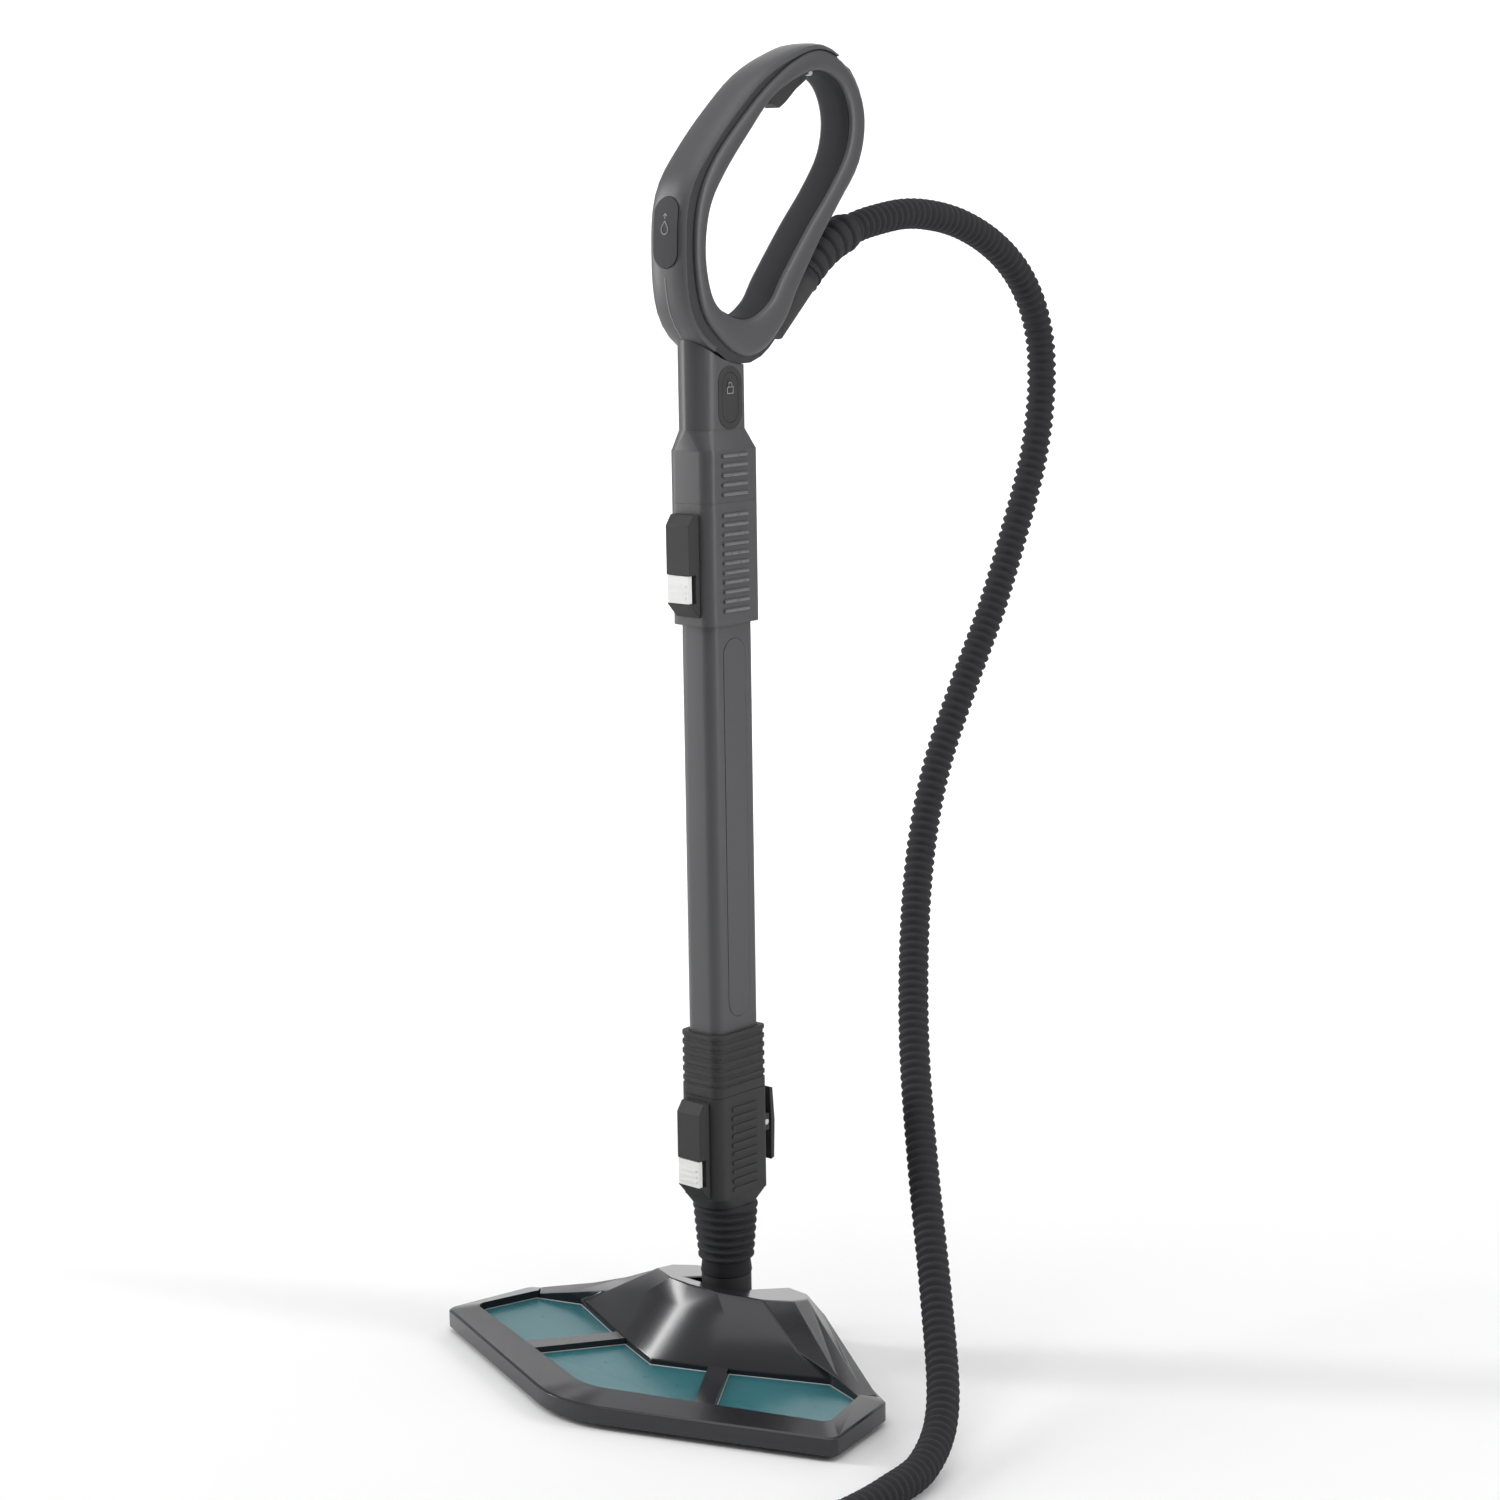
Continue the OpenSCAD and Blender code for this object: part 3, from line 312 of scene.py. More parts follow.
@dataclass(frozen=True)
class HookTape:
    """Woven tape covered with tiny hooks."""

    name: str
    colour: Colour

    def build(self) -> bpy.types.Material:
        """Make and return the material."""
        sheet = Sheet(self.name)
        cells = sheet.add("ShaderNodeTexVoronoi")
        put(cells, Scale=900)
        sheet.link(sheet.place, cells.inputs["Vector"])
        dark = tuple(c * 0.4 for c in self.colour)
        sheet.feed(
            Base_Color=sheet.blend(cells.outputs["Distance"], self.colour, dark),
            Normal=sheet.relief(cells.outputs["Distance"], 0.0004),
        )
        sheet.set(Roughness=0.85, Sheen_Weight=0.3)
        return sheet.material


class Finish(Enum):
    """The finishes of the mop: one for each material slot, one whose lighter grey paints the highlights on
    the collar rib crests, and one for the signs whose pale grey also paints the highlights on the cover
    crease and window edges.
    """

    CHARCOAL = Plastic("charcoal_satin", (0.009, 0.009, 0.0098), 0.27, specular=0.22)
    BLACK = Plastic("black_plastic", (0.0042, 0.0042, 0.0046), 0.28, specular=0.22)
    DARK = Plastic("dark_core", (0.0055, 0.0055, 0.006), 0.45)
    GLOSS = Plastic("gloss_black", (0.004, 0.004, 0.0045), 0.22, 0.04, 900, 0.000001, specular=0.05)
    WINDOW = TintedWindow("window_teal", (0.001, 0.052, 0.070))
    BRISTLE = Plastic("bristle_grey", (0.060, 0.060, 0.064), 0.55)
    RUBBER = Plastic("soft_rubber", (0.0075, 0.0075, 0.008), 0.42, sheen=0.06)
    SEAL = Plastic("seal_red", (0.28, 0.06, 0.035), 0.5)
    TAPE = HookTape("hook_fabric", (0.12, 0.12, 0.125))
    STEEL = DrawnSteel("spring_steel")
    PIPE = Plastic("pipe_grey", (0.25, 0.25, 0.26), 0.4)
    WHITE = Plastic("white_button", (0.92, 0.92, 0.91), 0.35, mottle=0.02)
    # Lighter grey that paints the highlights on the collar rib crests.
    BAR = Plastic("rib_highlight_grey", (0.16, 0.16, 0.165), 0.3, specular=0.4)
    # Pale grey for the raised signs, and for the painted highlights on the crease and the window edges.
    SIGN = Plastic("sign_and_highlight_grey", (0.42, 0.42, 0.43), 0.35)
    HOSE = Plastic(
        "hose_black", (0.0055, 0.0055, 0.006), 0.22, 0.04, 700, 0.000003, edge=0.0002, specular=0.6
    )

    @property
    def slot(self) -> str:
        """The material slot that this finish belongs to."""
        return self.value.name

    def material(self) -> bpy.types.Material:
        """Return this finish's material, made the first time it is asked for."""
        return bpy.data.materials.get(self.value.name) or self.value.build()


# ---------------------------------------------------------------- shared shapes


def spline(points: list[Vector], steps: int, closed: bool = False) -> list[Vector]:
    """Smooth a list of points with a Catmull-Rom curve.

    Args:
        points: the points that the curve passes.
        steps: pieces between two points.
        closed: whether the last point joins the first.

    Returns:
        The curve's points.
    """
    count = len(points)
    spans = count if closed else count - 1
    result = []
    for i in range(spans):
        if closed:
            a, b, c, d = (points[(i + k) % count] for k in (-1, 0, 1, 2))
        else:
            a, b, c, d = (points[min(max(i + k, 0), count - 1)] for k in (-1, 0, 1, 2))
        for j in range(steps):
            t = j / steps
            result.append(
                0.5
                * (
                    2 * b
                    + (c - a) * t
                    + (2 * a - 5 * b + 4 * c - d) * t * t
                    + (3 * b - a - 3 * c + d) * t * t * t
                )
            )
    if not closed:
        result.append(points[-1].copy())
    return result


def direction(angle: float) -> Vector:
    """Return the level unit vector at an angle in degrees from +X."""
    return Vector((math.cos(math.radians(angle)), math.sin(math.radians(angle)), 0))


def dress(piece: Piece, finish: Finish) -> None:
    """Give a piece one finish on all its faces."""
    piece.data.materials.clear()
    piece.data.materials.append(finish.material())


def made(name: str, points: list, faces: list, edges: list | None = None) -> Piece:
    """Make a piece from points in metres and faces.

    Args:
        name: the piece's name.
        points: its corners.
        faces: its faces, as indices.
        edges: its edges, for a line.

    Returns:
        The piece, linked to the scene.
    """
    mesh = bpy.data.meshes.new(name)
    mesh.from_pydata([tuple(p) for p in points], edges or [], faces)
    mesh.update()
    piece = bpy.data.objects.new(name, mesh)
    bpy.context.scene.collection.objects.link(piece)
    return piece


def lofted(name: str, rings: list[list[Vector]], closed: bool = False) -> Piece:
    """Join rings of equal length into one closed shell.

    Args:
        name: the piece's name.
        rings: the rings, in order.
        closed: whether the last ring joins the first.

    Returns:
        The piece, its faces outwards.
    """
    size, count = len(rings[0]), len(rings)
    points = [p for ring in rings for p in ring]
    faces = []
    for i in range(count if closed else count - 1):
        low, high = i * size, (i + 1) % count * size
        for j in range(size):
            k = (j + 1) % size
            faces.append((low + j, low + k, high + k, high + j))
    if not closed:
        faces.append(tuple(range(size - 1, -1, -1)))
        faces.append(tuple((count - 1) * size + j for j in range(size)))
    piece = made(name, points, faces)
    outwards(piece)
    return piece


def outwards(piece: Piece) -> None:
    """Merge a closed shell's doubles and turn its faces outwards."""
    work = bmesh.new()
    work.from_mesh(piece.data)
    bmesh.ops.remove_doubles(work, verts=work.verts, dist=0.000001)
    bmesh.ops.recalc_face_normals(work, faces=work.faces)
    if work.calc_volume(signed=True) < 0:
        bmesh.ops.reverse_faces(work, faces=work.faces)
    work.to_mesh(piece.data)
    work.free()


def settle(piece: Piece) -> None:
    """Turn a piece with its modifiers into a plain mesh."""
    graph = bpy.context.evaluated_depsgraph_get()
    mesh = bpy.data.meshes.new_from_object(piece.evaluated_get(graph))
    piece.modifiers.clear()
    old = piece.data
    piece.data = mesh
    bpy.data.meshes.remove(old)


def carve(piece: Piece, tool: Piece) -> None:
    """Cut a piece with another one, which is then removed.

    Args:
        piece: what is cut.
        tool: what cuts it.
    """
    cut = piece.modifiers.new("cut", "BOOLEAN")
    cut.operation = "DIFFERENCE"
    cut.solver = "EXACT"
    cut.object = tool
    settle(piece)
    mesh = tool.data
    bpy.data.objects.remove(tool)
    bpy.data.meshes.remove(mesh)


def ready(
    piece: Piece,
    body: str,
    finish: Finish,
    stands_for: tuple[str, ...] = (),
    sharp: float = SHARP_ANGLE,
) -> Piece:
    """Finish a piece: its look, its shading, its body and the nodes that it stands for.

    Args:
        piece: the piece.
        body: the body that it rides on.
        finish: its finish.
        stands_for: CAD nodes that it replaces.
        sharp: edges that turn more than this, in radians, stay sharp.

    Returns:
        The piece.
    """
    dress(piece, finish)
    shade(piece, sharp)
    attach(piece, body)
    if stands_for:
        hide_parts(*stands_for)
    log.info("%s: %d faces on %s", piece.name, len(piece.data.polygons), body)
    return piece


class Pattern(Graph):
    """A geometry node tree with named sizes, run once over a base mesh."""

    def __init__(self, name: str) -> None:
        """Start a tree.

        Args:
            name: the tree's name.
        """
        self.name = name
        self.tree = bpy.data.node_groups.new(name, "GeometryNodeTree")
        face = self.tree.interface
        face.new_socket("Geometry", in_out="INPUT", socket_type="NodeSocketGeometry")
        face.new_socket("Geometry", in_out="OUTPUT", socket_type="NodeSocketGeometry")
        self.start = self.add("NodeGroupInput")
        self.end = self.add("NodeGroupOutput")
        self.values: dict[str, object] = {}

    def size(self, name: str, value: object, kind: str = "NodeSocketFloat") -> Socket:
        """Add a named input.

        Args:
            name: the input's name.
            value: the value that it is given.
            kind: its socket type.

        Returns:
            The socket to link from.
        """
        self.tree.interface.new_socket(name, in_out="INPUT", socket_type=kind)
        self.values[name] = value
        return self.start.outputs[name]

    def sum(
        self, how: str, first: Socket | float, second: Socket | float = 0.0
    ) -> Socket:
        """Work out one step of arithmetic.

        Args:
            how: the operation.
            first: its first value, a socket or a number.
            second: its second value.

        Returns:
            The result's socket.
        """
        node = self.add("ShaderNodeMath", operation=how)
        for socket, value in zip(node.inputs, (first, second)):
            if isinstance(value, Socket):
                self.link(value, socket)
            else:
                socket.default_value = value
        return node.outputs[0]

    def chance(self, seed: Socket, **corners: Point) -> Socket:
        """Draw a vector for each point.

        Args:
            seed: the seed.
            corners: Min and Max of the vector, where they differ from the node's own.

        Returns:
            The vector's socket.
        """
        node = self.add("FunctionNodeRandomValue", data_type="FLOAT_VECTOR")
        for name, value in corners.items():
            next(i for i in node.inputs if i.name == name and i.type == "VECTOR").default_value = value
        self.link(seed, node.inputs["Seed"])
        return node.outputs["Value"]

    def hung(self, cone: bpy.types.Node, length: float) -> Socket:
        """Give a cone its sides and lower it by its length.

        Args:
            cone: the cone's node.
            length: how far it is lowered, in metres.

        Returns:
            The shape's socket.
        """
        drop = self.add("GeometryNodeTransform")
        put(cone, Vertices=STRAND_SIDES)
        put(drop, Translation=(0, 0, -length))
        self.join(cone, "Mesh", drop, "Geometry")
        return drop.outputs["Geometry"]

    def copies(
        self,
        points: Socket,
        shape: Socket,
        turn: Socket | None = None,
    ) -> None:
        """Put a copy of a shape on each point, and end the tree.

        Args:
            points: the points.
            shape: the shape.
            turn: each copy's rotation, or None to leave it as it is.
        """
        node = self.add("GeometryNodeInstanceOnPoints")
        self.link(points, node.inputs["Points"])
        self.link(shape, node.inputs["Instance"])
        if turn:
            self.link(turn, node.inputs["Rotation"])
        self.close(node.outputs["Instances"])

    def wire(self, line: Socket, label: str, radius: float, sides: int) -> None:
        """Turn edges into round wire, and end the tree.

        Args:
            line: the edges.
            label: the name of the input that holds the radius.
            radius: the wire's radius in metres.
            sides: how many sides it has.
        """
        path = self.add("GeometryNodeMeshToCurve")
        ring = self.add("GeometryNodeCurvePrimitiveCircle", mode="RADIUS")
        skin = self.add("GeometryNodeCurveToMesh")
        put(ring, Resolution=sides)
        put(skin, Fill_Caps=True)
        self.link(self.size(label, radius), ring.inputs["Radius"])
        self.link(line, path.inputs["Mesh"])
        self.join(path, "Curve", skin)
        self.join(ring, "Curve", skin, "Profile Curve")
        self.close(skin.outputs["Mesh"])

    def close(self, geometry: Socket) -> None:
        """End the tree: instances made real, and the finish set."""
        real = self.add("GeometryNodeRealizeInstances")
        paint = self.add("GeometryNodeSetMaterial")
        self.link(geometry, real.inputs["Geometry"])
        self.join(real, "Geometry", paint)
        self.link(self.size("Finish", None, "NodeSocketMaterial"), paint.inputs["Material"])
        self.join(paint, "Geometry", self.end)

    def grow(self, piece: Piece, finish: Finish) -> Piece:
        """Run the tree on a piece and keep the result as its plain mesh.

        Args:
            piece: the base mesh's object.
            finish: the finish that the tree sets.

        Returns:
            The piece.
        """
        self.values["Finish"] = finish.material()
        modifier = piece.modifiers.new(self.name, "NODES")
        modifier.node_group = self.tree
        for item in self.tree.interface.items_tree:
            if item.in_out == "INPUT" and item.name in self.values:
                modifier[item.identifier] = self.values[item.name]
        settle(piece)
        return piece


# ---------------------------------------------------------------- hose


@dataclass
class SteamHose:
    """The hose: from the handle's cuff to the floor, one turn of a coil, and its connector."""

    diameter: float = 0.022
    route: list[Point] = field(
        default_factory=lambda: [
            (0, 0.1421, 0.778), (0, 0.166, 0.784), (0, 0.212, 0.789), (0, 0.264, 0.782),
            (0, 0.311, 0.763), (0, 0.345, 0.735), (0, 0.364, 0.698), (0, 0.367, 0.655),
            (0, 0.357, 0.605), (0, 0.333, 0.550), (0, 0.305, 0.495), (0, 0.270, 0.440),
            (0.002, 0.236, 0.385), (0.012, 0.205, 0.330), (0.035, 0.168, 0.270),
            (0.072, 0.122, 0.205), (0.120, 0.072, 0.138), (0.172, 0.020, 0.076),
            (0.222, -0.036, 0.030), (0.246, -0.084, 0.013), (0.254, -0.130, 0.011),
            (0.256, -0.170, 0.011), (0.252, -0.204, 0.011),
        ]
    )
    coil_at: tuple[float, float] = (0.365, -0.254)
    coil_in: float = 165.0
    coil_turns: float = 5.5
    curl_back: float = 86.0
    curl_turn: float = 120.0
    curl_turns: float = 4.2
    straight: float = 0.050
    rise_from: float = 0.040
    plug_radius: float = 0.017
    rib_pitch: float = 0.0064
    rib_depth: float = 0.0021

    def coil(self) -> list[Vector]:
        """Return the turn of the coil that the hose makes on the floor."""
        radius = self.coil_turns * self.diameter
        middle = Vector((*self.coil_at, self.diameter / 2))
        turn = 360 - self.curl_back
        steps = 44
        return [
            middle + radius * direction(self.coil_in + turn * i / steps)
            for i in range(steps + 1)
        ]

    def tail(self) -> list[Vector]:
        """Return the tail, which turns inwards and climbs onto the coil."""
        start = self.coil_in - self.curl_back
        radius = self.curl_turns * self.diameter
        middle = Vector((*self.coil_at, 0)) + (
            self.coil_turns * self.diameter - radius
        ) * direction(start)
        curl = radius * math.radians(self.curl_turn)
        whole = curl + self.straight
        heading = direction(start + self.curl_turn + 90)
        steps = 24
        points = []
        for i in range(1, steps + 1):
            run = whole * i / steps
            angle = start + math.degrees(min(run, curl) / radius)
            climb = min(1.0, max(0.0, (run - self.rise_from) / (whole - self.rise_from)))
            climb = climb * climb * (3 - 2 * climb)
            low, high = self.diameter / 2, self.diameter + self.plug_radius
            point = middle + radius * direction(angle) + max(0.0, run - curl) * heading
            point.z = low + (high - low) * climb
            points.append(point)
        return points

    def path(self) -> list[Vector]:
        """Return the centreline from the cuff to the connector."""
        return spline([Vector(p) for p in self.route], 6)[:-1] + self.coil() + self.tail()

    def ribs(self, length: float) -> Pattern:
        """Make the tree that turns the centreline into a ribbed hose.

        Args:
            length: the centreline's length.

        Returns:
            The tree.
        """
        tree = Pattern("hose_ribs")
        line = tree.add("GeometryNodeMeshToCurve")
        even = tree.add("GeometryNodeResampleCurve")
        along = tree.add("GeometryNodeSplineParameter")
        ring = tree.add("GeometryNodeCurvePrimitiveCircle", mode="RADIUS")
        skin = tree.add("GeometryNodeCurveToMesh")
        smooth = tree.add("GeometryNodeSetShadeSmooth")
        steps = 6 * round(length / self.rib_pitch)
        tree.link(tree.size("Rings", steps, "NodeSocketInt"), even.inputs["Count"])
        tree.link(tree.size("Sides", 20, "NodeSocketInt"), ring.inputs["Resolution"])
        radius = tree.size("Radius", self.diameter / 2)
        depth = tree.size("Rib depth", self.rib_depth)
        pitch = tree.size("Rib pitch", length / round(length / self.rib_pitch))
        put(ring, Radius=1.0)
        turn = tree.sum("MULTIPLY", tree.sum("DIVIDE", along.outputs["Length"], pitch), math.tau)
        wave = tree.sum("MULTIPLY_ADD", tree.sum("COSINE", turn), 0.5)
        wave.node.inputs[2].default_value = 0.5
        dip = tree.sum("MULTIPLY", tree.sum("POWER", wave, 1.5), depth)
        tree.join(tree.start, "Geometry", line, "Mesh")
        tree.join(line, "Curve", even)
        tree.join(even, "Curve", skin)
        tree.join(ring, "Curve", skin, "Profile Curve")
        tree.link(tree.sum("SUBTRACT", radius, dip), skin.inputs["Scale"])
        put(skin, Fill_Caps=True)
        tree.join(skin, "Mesh", smooth, "Geometry")
        tree.close(smooth.outputs["Geometry"])
        return tree

    def build(self, nodes: Nodes) -> None:
        """Args:
            nodes: the CAD nodes by name; not used.
        """
        points = self.path()
        length = sum((b - a).length for a, b in zip(points, points[1:]))
        joins = [(i, i + 1) for i in range(len(points) - 1)]
        hose = made("steam_hose", points, [], joins)
        self.ribs(length).grow(hose, Finish.HOSE)
        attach(hose, "wand")
        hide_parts("hose_tube", "hose_coil")
        log.info("hose: %.3f m, %d faces", length, len(hose.data.polygons))


# ---------------------------------------------------------------- brush


@dataclass
class FloorBrush:
    """What the brush carries underneath: tufts, hook tape and the rubber strip."""

    tip_x: float = 0.184
    row_x: float = 0.004
    front_y: tuple[float, float] = (-0.120, -0.108)
    front_slope: float = 21.1
    rear_at: tuple[float, float] = (0.062, 0.003)
    rear_slope: float = 29.2
    sole_z: float = 0.0059
    spacing: float = 0.00048
    strand: float = 0.0057
    hook: float = 0.0006
    tape_z: float = 0.0051
    tape_size: tuple[float, float] = (0.060, 0.010)

    def rows(self) -> list[tuple[Vector, Vector]]:
        """Return the ends of each row of bristles."""
        rows = []
        for side in (-1, 1):
            runs = [
                (Vector((self.row_x, y, 0)), direction(self.front_slope), self.tip_x - 0.046)
                for y in self.front_y
            ]
            runs.append((Vector((*self.rear_at, 0)), direction(-self.rear_slope), self.tip_x - 0.101))
            for start, heading, run in runs:
                ends = [start + 0.001 * heading, start + run * heading]
                rows.append(tuple(Vector((side * e.x, e.y, self.sole_z)) for e in ends))
        return rows

    def bristles(self) -> None:
        """Make the bristles as leaning strands along each row."""
        points, joins = [], []
        for start, end in self.rows():
            joins.append((len(points), len(points) + 1))
            points += [start, end]
        piece = made("brush_bristles", points, [], joins)
        tree = Pattern("bristle_rows")
        line = tree.add("GeometryNodeMeshToCurve")
        even = tree.add("GeometryNodeCurveToPoints", mode="LENGTH")
        move = tree.add("GeometryNodeSetPosition")
        strand = tree.add("GeometryNodeMeshCone")
        tree.link(tree.size("Spacing", self.spacing), even.inputs["Length"])
        seed = tree.size("Seed", 7, "NodeSocketInt")
        shift = tree.chance(seed, Min=(-0.0004, -0.0020, 0), Max=(0.0004, 0.0020, 0))
        lean = tree.chance(tree.sum("ADD", seed, 11.0), Min=(-0.10, -0.10, 0), Max=(0.10, 0.10, 3.1))
        put(strand, Radius_Top=0.00034, Radius_Bottom=0.00020)
        tree.link(tree.size("Strand length", self.strand), strand.inputs["Depth"])
        tree.join(tree.start, "Geometry", line, "Mesh")
        tree.join(line, "Curve", even)
        tree.join(even, "Points", move, "Geometry")
        tree.link(shift, move.inputs["Offset"])
        tree.copies(move.outputs["Geometry"], tree.hung(strand, self.strand), lean)
        tree.grow(piece, Finish.BRISTLE)
        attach(piece, "brush")
        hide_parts("bristles_front", "bristles_rear")

    def tapes(self) -> None:
        """Make the strips of hook tape, with a field of small hooks on each."""
        points, faces, roots = [], [], []
        long, wide = self.tape_size
        for side in (-1, 1):
            for y in (-0.070, -0.048, -0.026):
                low = Vector((side * 0.050 - 0.030, y, self.tape_z))
                first = len(points)
                for dz in (0, self.sole_z - self.tape_z):
                    for dx, dy in ((0, 0), (long, 0), (long, wide), (0, wide)):
                        points.append(low + Vector((dx, dy, dz)))
                faces += [tuple(first + i for i in face) for face in (
                    (3, 2, 1, 0), (4, 5, 6, 7), (0, 1, 5, 4), (1, 2, 6, 5), (2, 3, 7, 6), (3, 0, 4, 7))]
                roots += [
                    low + Vector((0.0015 + 0.002 * i, 0.0012 + 0.0019 * j, 0.0001))
                    for i in range(29) for j in range(5)
                ]
        ready(made("hook_tape", points, faces), "brush", Finish.TAPE, ("hook_strips",))
        piece = made("tape_hooks", roots, [])
        tree = Pattern("hook_field")
        hook = tree.add("GeometryNodeMeshCone")
        turn = tree.chance(tree.size("Seed", 3, "NodeSocketInt"), Max=(0.3, 0.3, 3.1))
        tree.link(tree.size("Foot radius", 0.0002), hook.inputs["Radius Top"])
        tree.link(tree.size("Head radius", 0.0004), hook.inputs["Radius Bottom"])
        tree.link(tree.size("Hook length", self.hook), hook.inputs["Depth"])
        tree.copies(tree.start.outputs["Geometry"], tree.hung(hook, self.hook), turn)
        tree.grow(piece, Finish.TAPE)
        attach(piece, "brush")

    def strip(self) -> None:
        """Make the rubber strip with its three lips."""
        half, top = 0.006, self.sole_z
        section = [(-half, top), (-half, 0.0030), (-0.0052, 0.0003), (-0.0040, 0.0003), (-0.0032, 0.0030),
                   (-0.0012, 0.0030), (-0.0006, 0.0001), (0.0006, 0.0001), (0.0012, 0.0030),
                   (0.0032, 0.0030), (0.0040, 0.0003), (0.0052, 0.0003), (half, 0.0030), (half, top)]
        rings = [[Vector((x, y, z)) for y, z in section] for x in (-0.055, 0.055)]
        ready(lofted("rubber_strip", rings), "brush", Finish.RUBBER, ("floor_strip",), 0.5)

    def rim_highlights(self, nodes: Nodes) -> None:
        """Make the painted highlight along the upper edge of each window, a thin pale line laid just
        inside it.

        Args:
            nodes: the CAD nodes by name.
        """
        points, joins = [], []
        for name in ("window_left", "window_right", "window_nose"):
            shell = bmesh.new()
            shell.from_mesh(nodes[name].data)
            bmesh.ops.remove_doubles(shell, verts=shell.verts, dist=0.00001)
            shell.normal_update()
            top = max(v.co.z for v in shell.verts)
            middle = sum((v.co for v in shell.verts), Vector()) / len(shell.verts)
            for edge in shell.edges:
                level = [f for f in edge.link_faces if f.normal.z > 0.9]
                if len(level) == 1 and all(abs(v.co.z - top) < 0.0002 for v in edge.verts):
                    first = len(points)
                    for v in edge.verts:
                        inwards = Vector((middle.x - v.co.x, middle.y - v.co.y, 0)).normalized()
                        points.append(v.co + 0.0004 * inwards)
                    joins.append((first, first + 1))
            shell.free()
        piece = made("window_rim_highlights", points, [], joins)
        tree = Pattern("rim_line")
        weld = tree.add("GeometryNodeMergeByDistance")
        put(weld, Distance=0.00002)
        tree.join(tree.start, "Geometry", weld)
        tree.wire(weld.outputs["Geometry"], "Rim highlight radius", 0.00045, 6)
        # Pale grey paints the highlight that each window edge catches.
        tree.grow(piece, Finish.SIGN)
        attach(piece, "brush")
        log.info("window rims: %d lines", len(joins))

    def build(self, nodes: Nodes) -> None:
        """Make all of it from the CAD nodes."""
        self.bristles()
        self.tapes()
        self.strip()
        self.rim_highlights(nodes)


# ---------------------------------------------------------------- neck


def lathe(name: str, profile: list[tuple[float, float]], sides: int) -> Piece:
    """Turn a closed profile round the upright axis.

    Args:
        name: the piece's name.
        profile: its corners as radius and height, in metres.
        sides: how many steps the turn has.

    Returns:
        The piece.
    """
    rings = []
    for i in range(sides):
        out = direction(360 * i / sides)
        rings.append([out * radius + Vector((0, 0, height)) for radius, height in profile])
    return lofted(name, rings, closed=True)


@dataclass
class SwivelBoot:
    """Ribbed rubber boot above the swivel and the seal inside its foot."""

    inner: float = 0.0152
    stem: float = 0.0175
    low: float = 0.0195
    high: float = 0.0230
    foot_z: float = 0.0606
    ribs_z: float = 0.070
    top_z: float = 0.112
    ribs: int = 7
    depth: float = 0.0026

    def build(self) -> None:
        """Make the boot and the seal."""
        profile = [(self.inner, self.foot_z), (self.stem + 0.0003, self.foot_z),
                   (self.stem + 0.0005, self.foot_z + 0.0004)]
        steps = 14 * self.ribs
        for i in range(steps + 1):
            along = i / steps
            wave = 0.5 + 0.5 * math.cos(math.tau * along * self.ribs)
            radius = self.low + (self.high - self.low) * along - self.depth * wave ** 1.6
            profile.append((radius, self.ribs_z + (self.top_z - self.ribs_z) * along))
        profile.append((self.inner, self.top_z))
        ready(lathe("ribbed_boot", profile, 72), "wand", Finish.RUBBER, ("neck_boot",), 0.9)
        seal = [(0.0101, 0.0601), (0.0144, 0.0601), (0.0142, 0.0607), (0.0144, 0.0611), (0.0144, 0.0617),
                (0.0101, 0.0617), (0.0104, 0.0612), (0.0101, 0.0608)]
        ready(lathe("lip_seal", seal, 64), "wand", Finish.RUBBER, ("stem_seal",), 0.5)


@dataclass
class CollarRibHighlights:
    """Painted highlights on the crests of the grip ribs, as lighter grey bars on both sides of the upper
    collars.
    """

    side_x: float = 0.01925
    middle_y: float = 0.001
    pitch: float = 0.0064
    runs: tuple[tuple[float, int], ...] = ((0.5295, 11), (0.6075, 5))

    def build(self) -> None:
        """Make the painted highlight bars as copies along each run of ribs."""
        roots = [
            Vector((side * self.side_x, self.middle_y, start + self.pitch * i))
            for side in (-1, 1) for start, count in self.runs for i in range(count)
        ]
        piece = made("collar_rib_highlights", roots, [])
        tree = Pattern("rib_highlight_bars")
        bar = tree.add("GeometryNodeMeshCylinder")
        lay = tree.add("GeometryNodeTransform")
        put(bar, Vertices=12)
        tree.link(tree.size("Rib highlight radius", 0.0010), bar.inputs["Radius"])
        tree.link(tree.size("Rib highlight length", 0.0235), bar.inputs["Depth"])
        put(lay, Rotation=(math.pi / 2, 0, 0), Scale=(0.4, 1, 1))
        tree.join(bar, "Mesh", lay, "Geometry")
        tree.copies(tree.start.outputs["Geometry"], lay.outputs["Geometry"])
        # The bars take the grey that paints the rib highlights.
        tree.grow(piece, Finish.BAR)
        shade(piece, 0.8)
        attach(piece, "wand")


# ---------------------------------------------------------------- handle


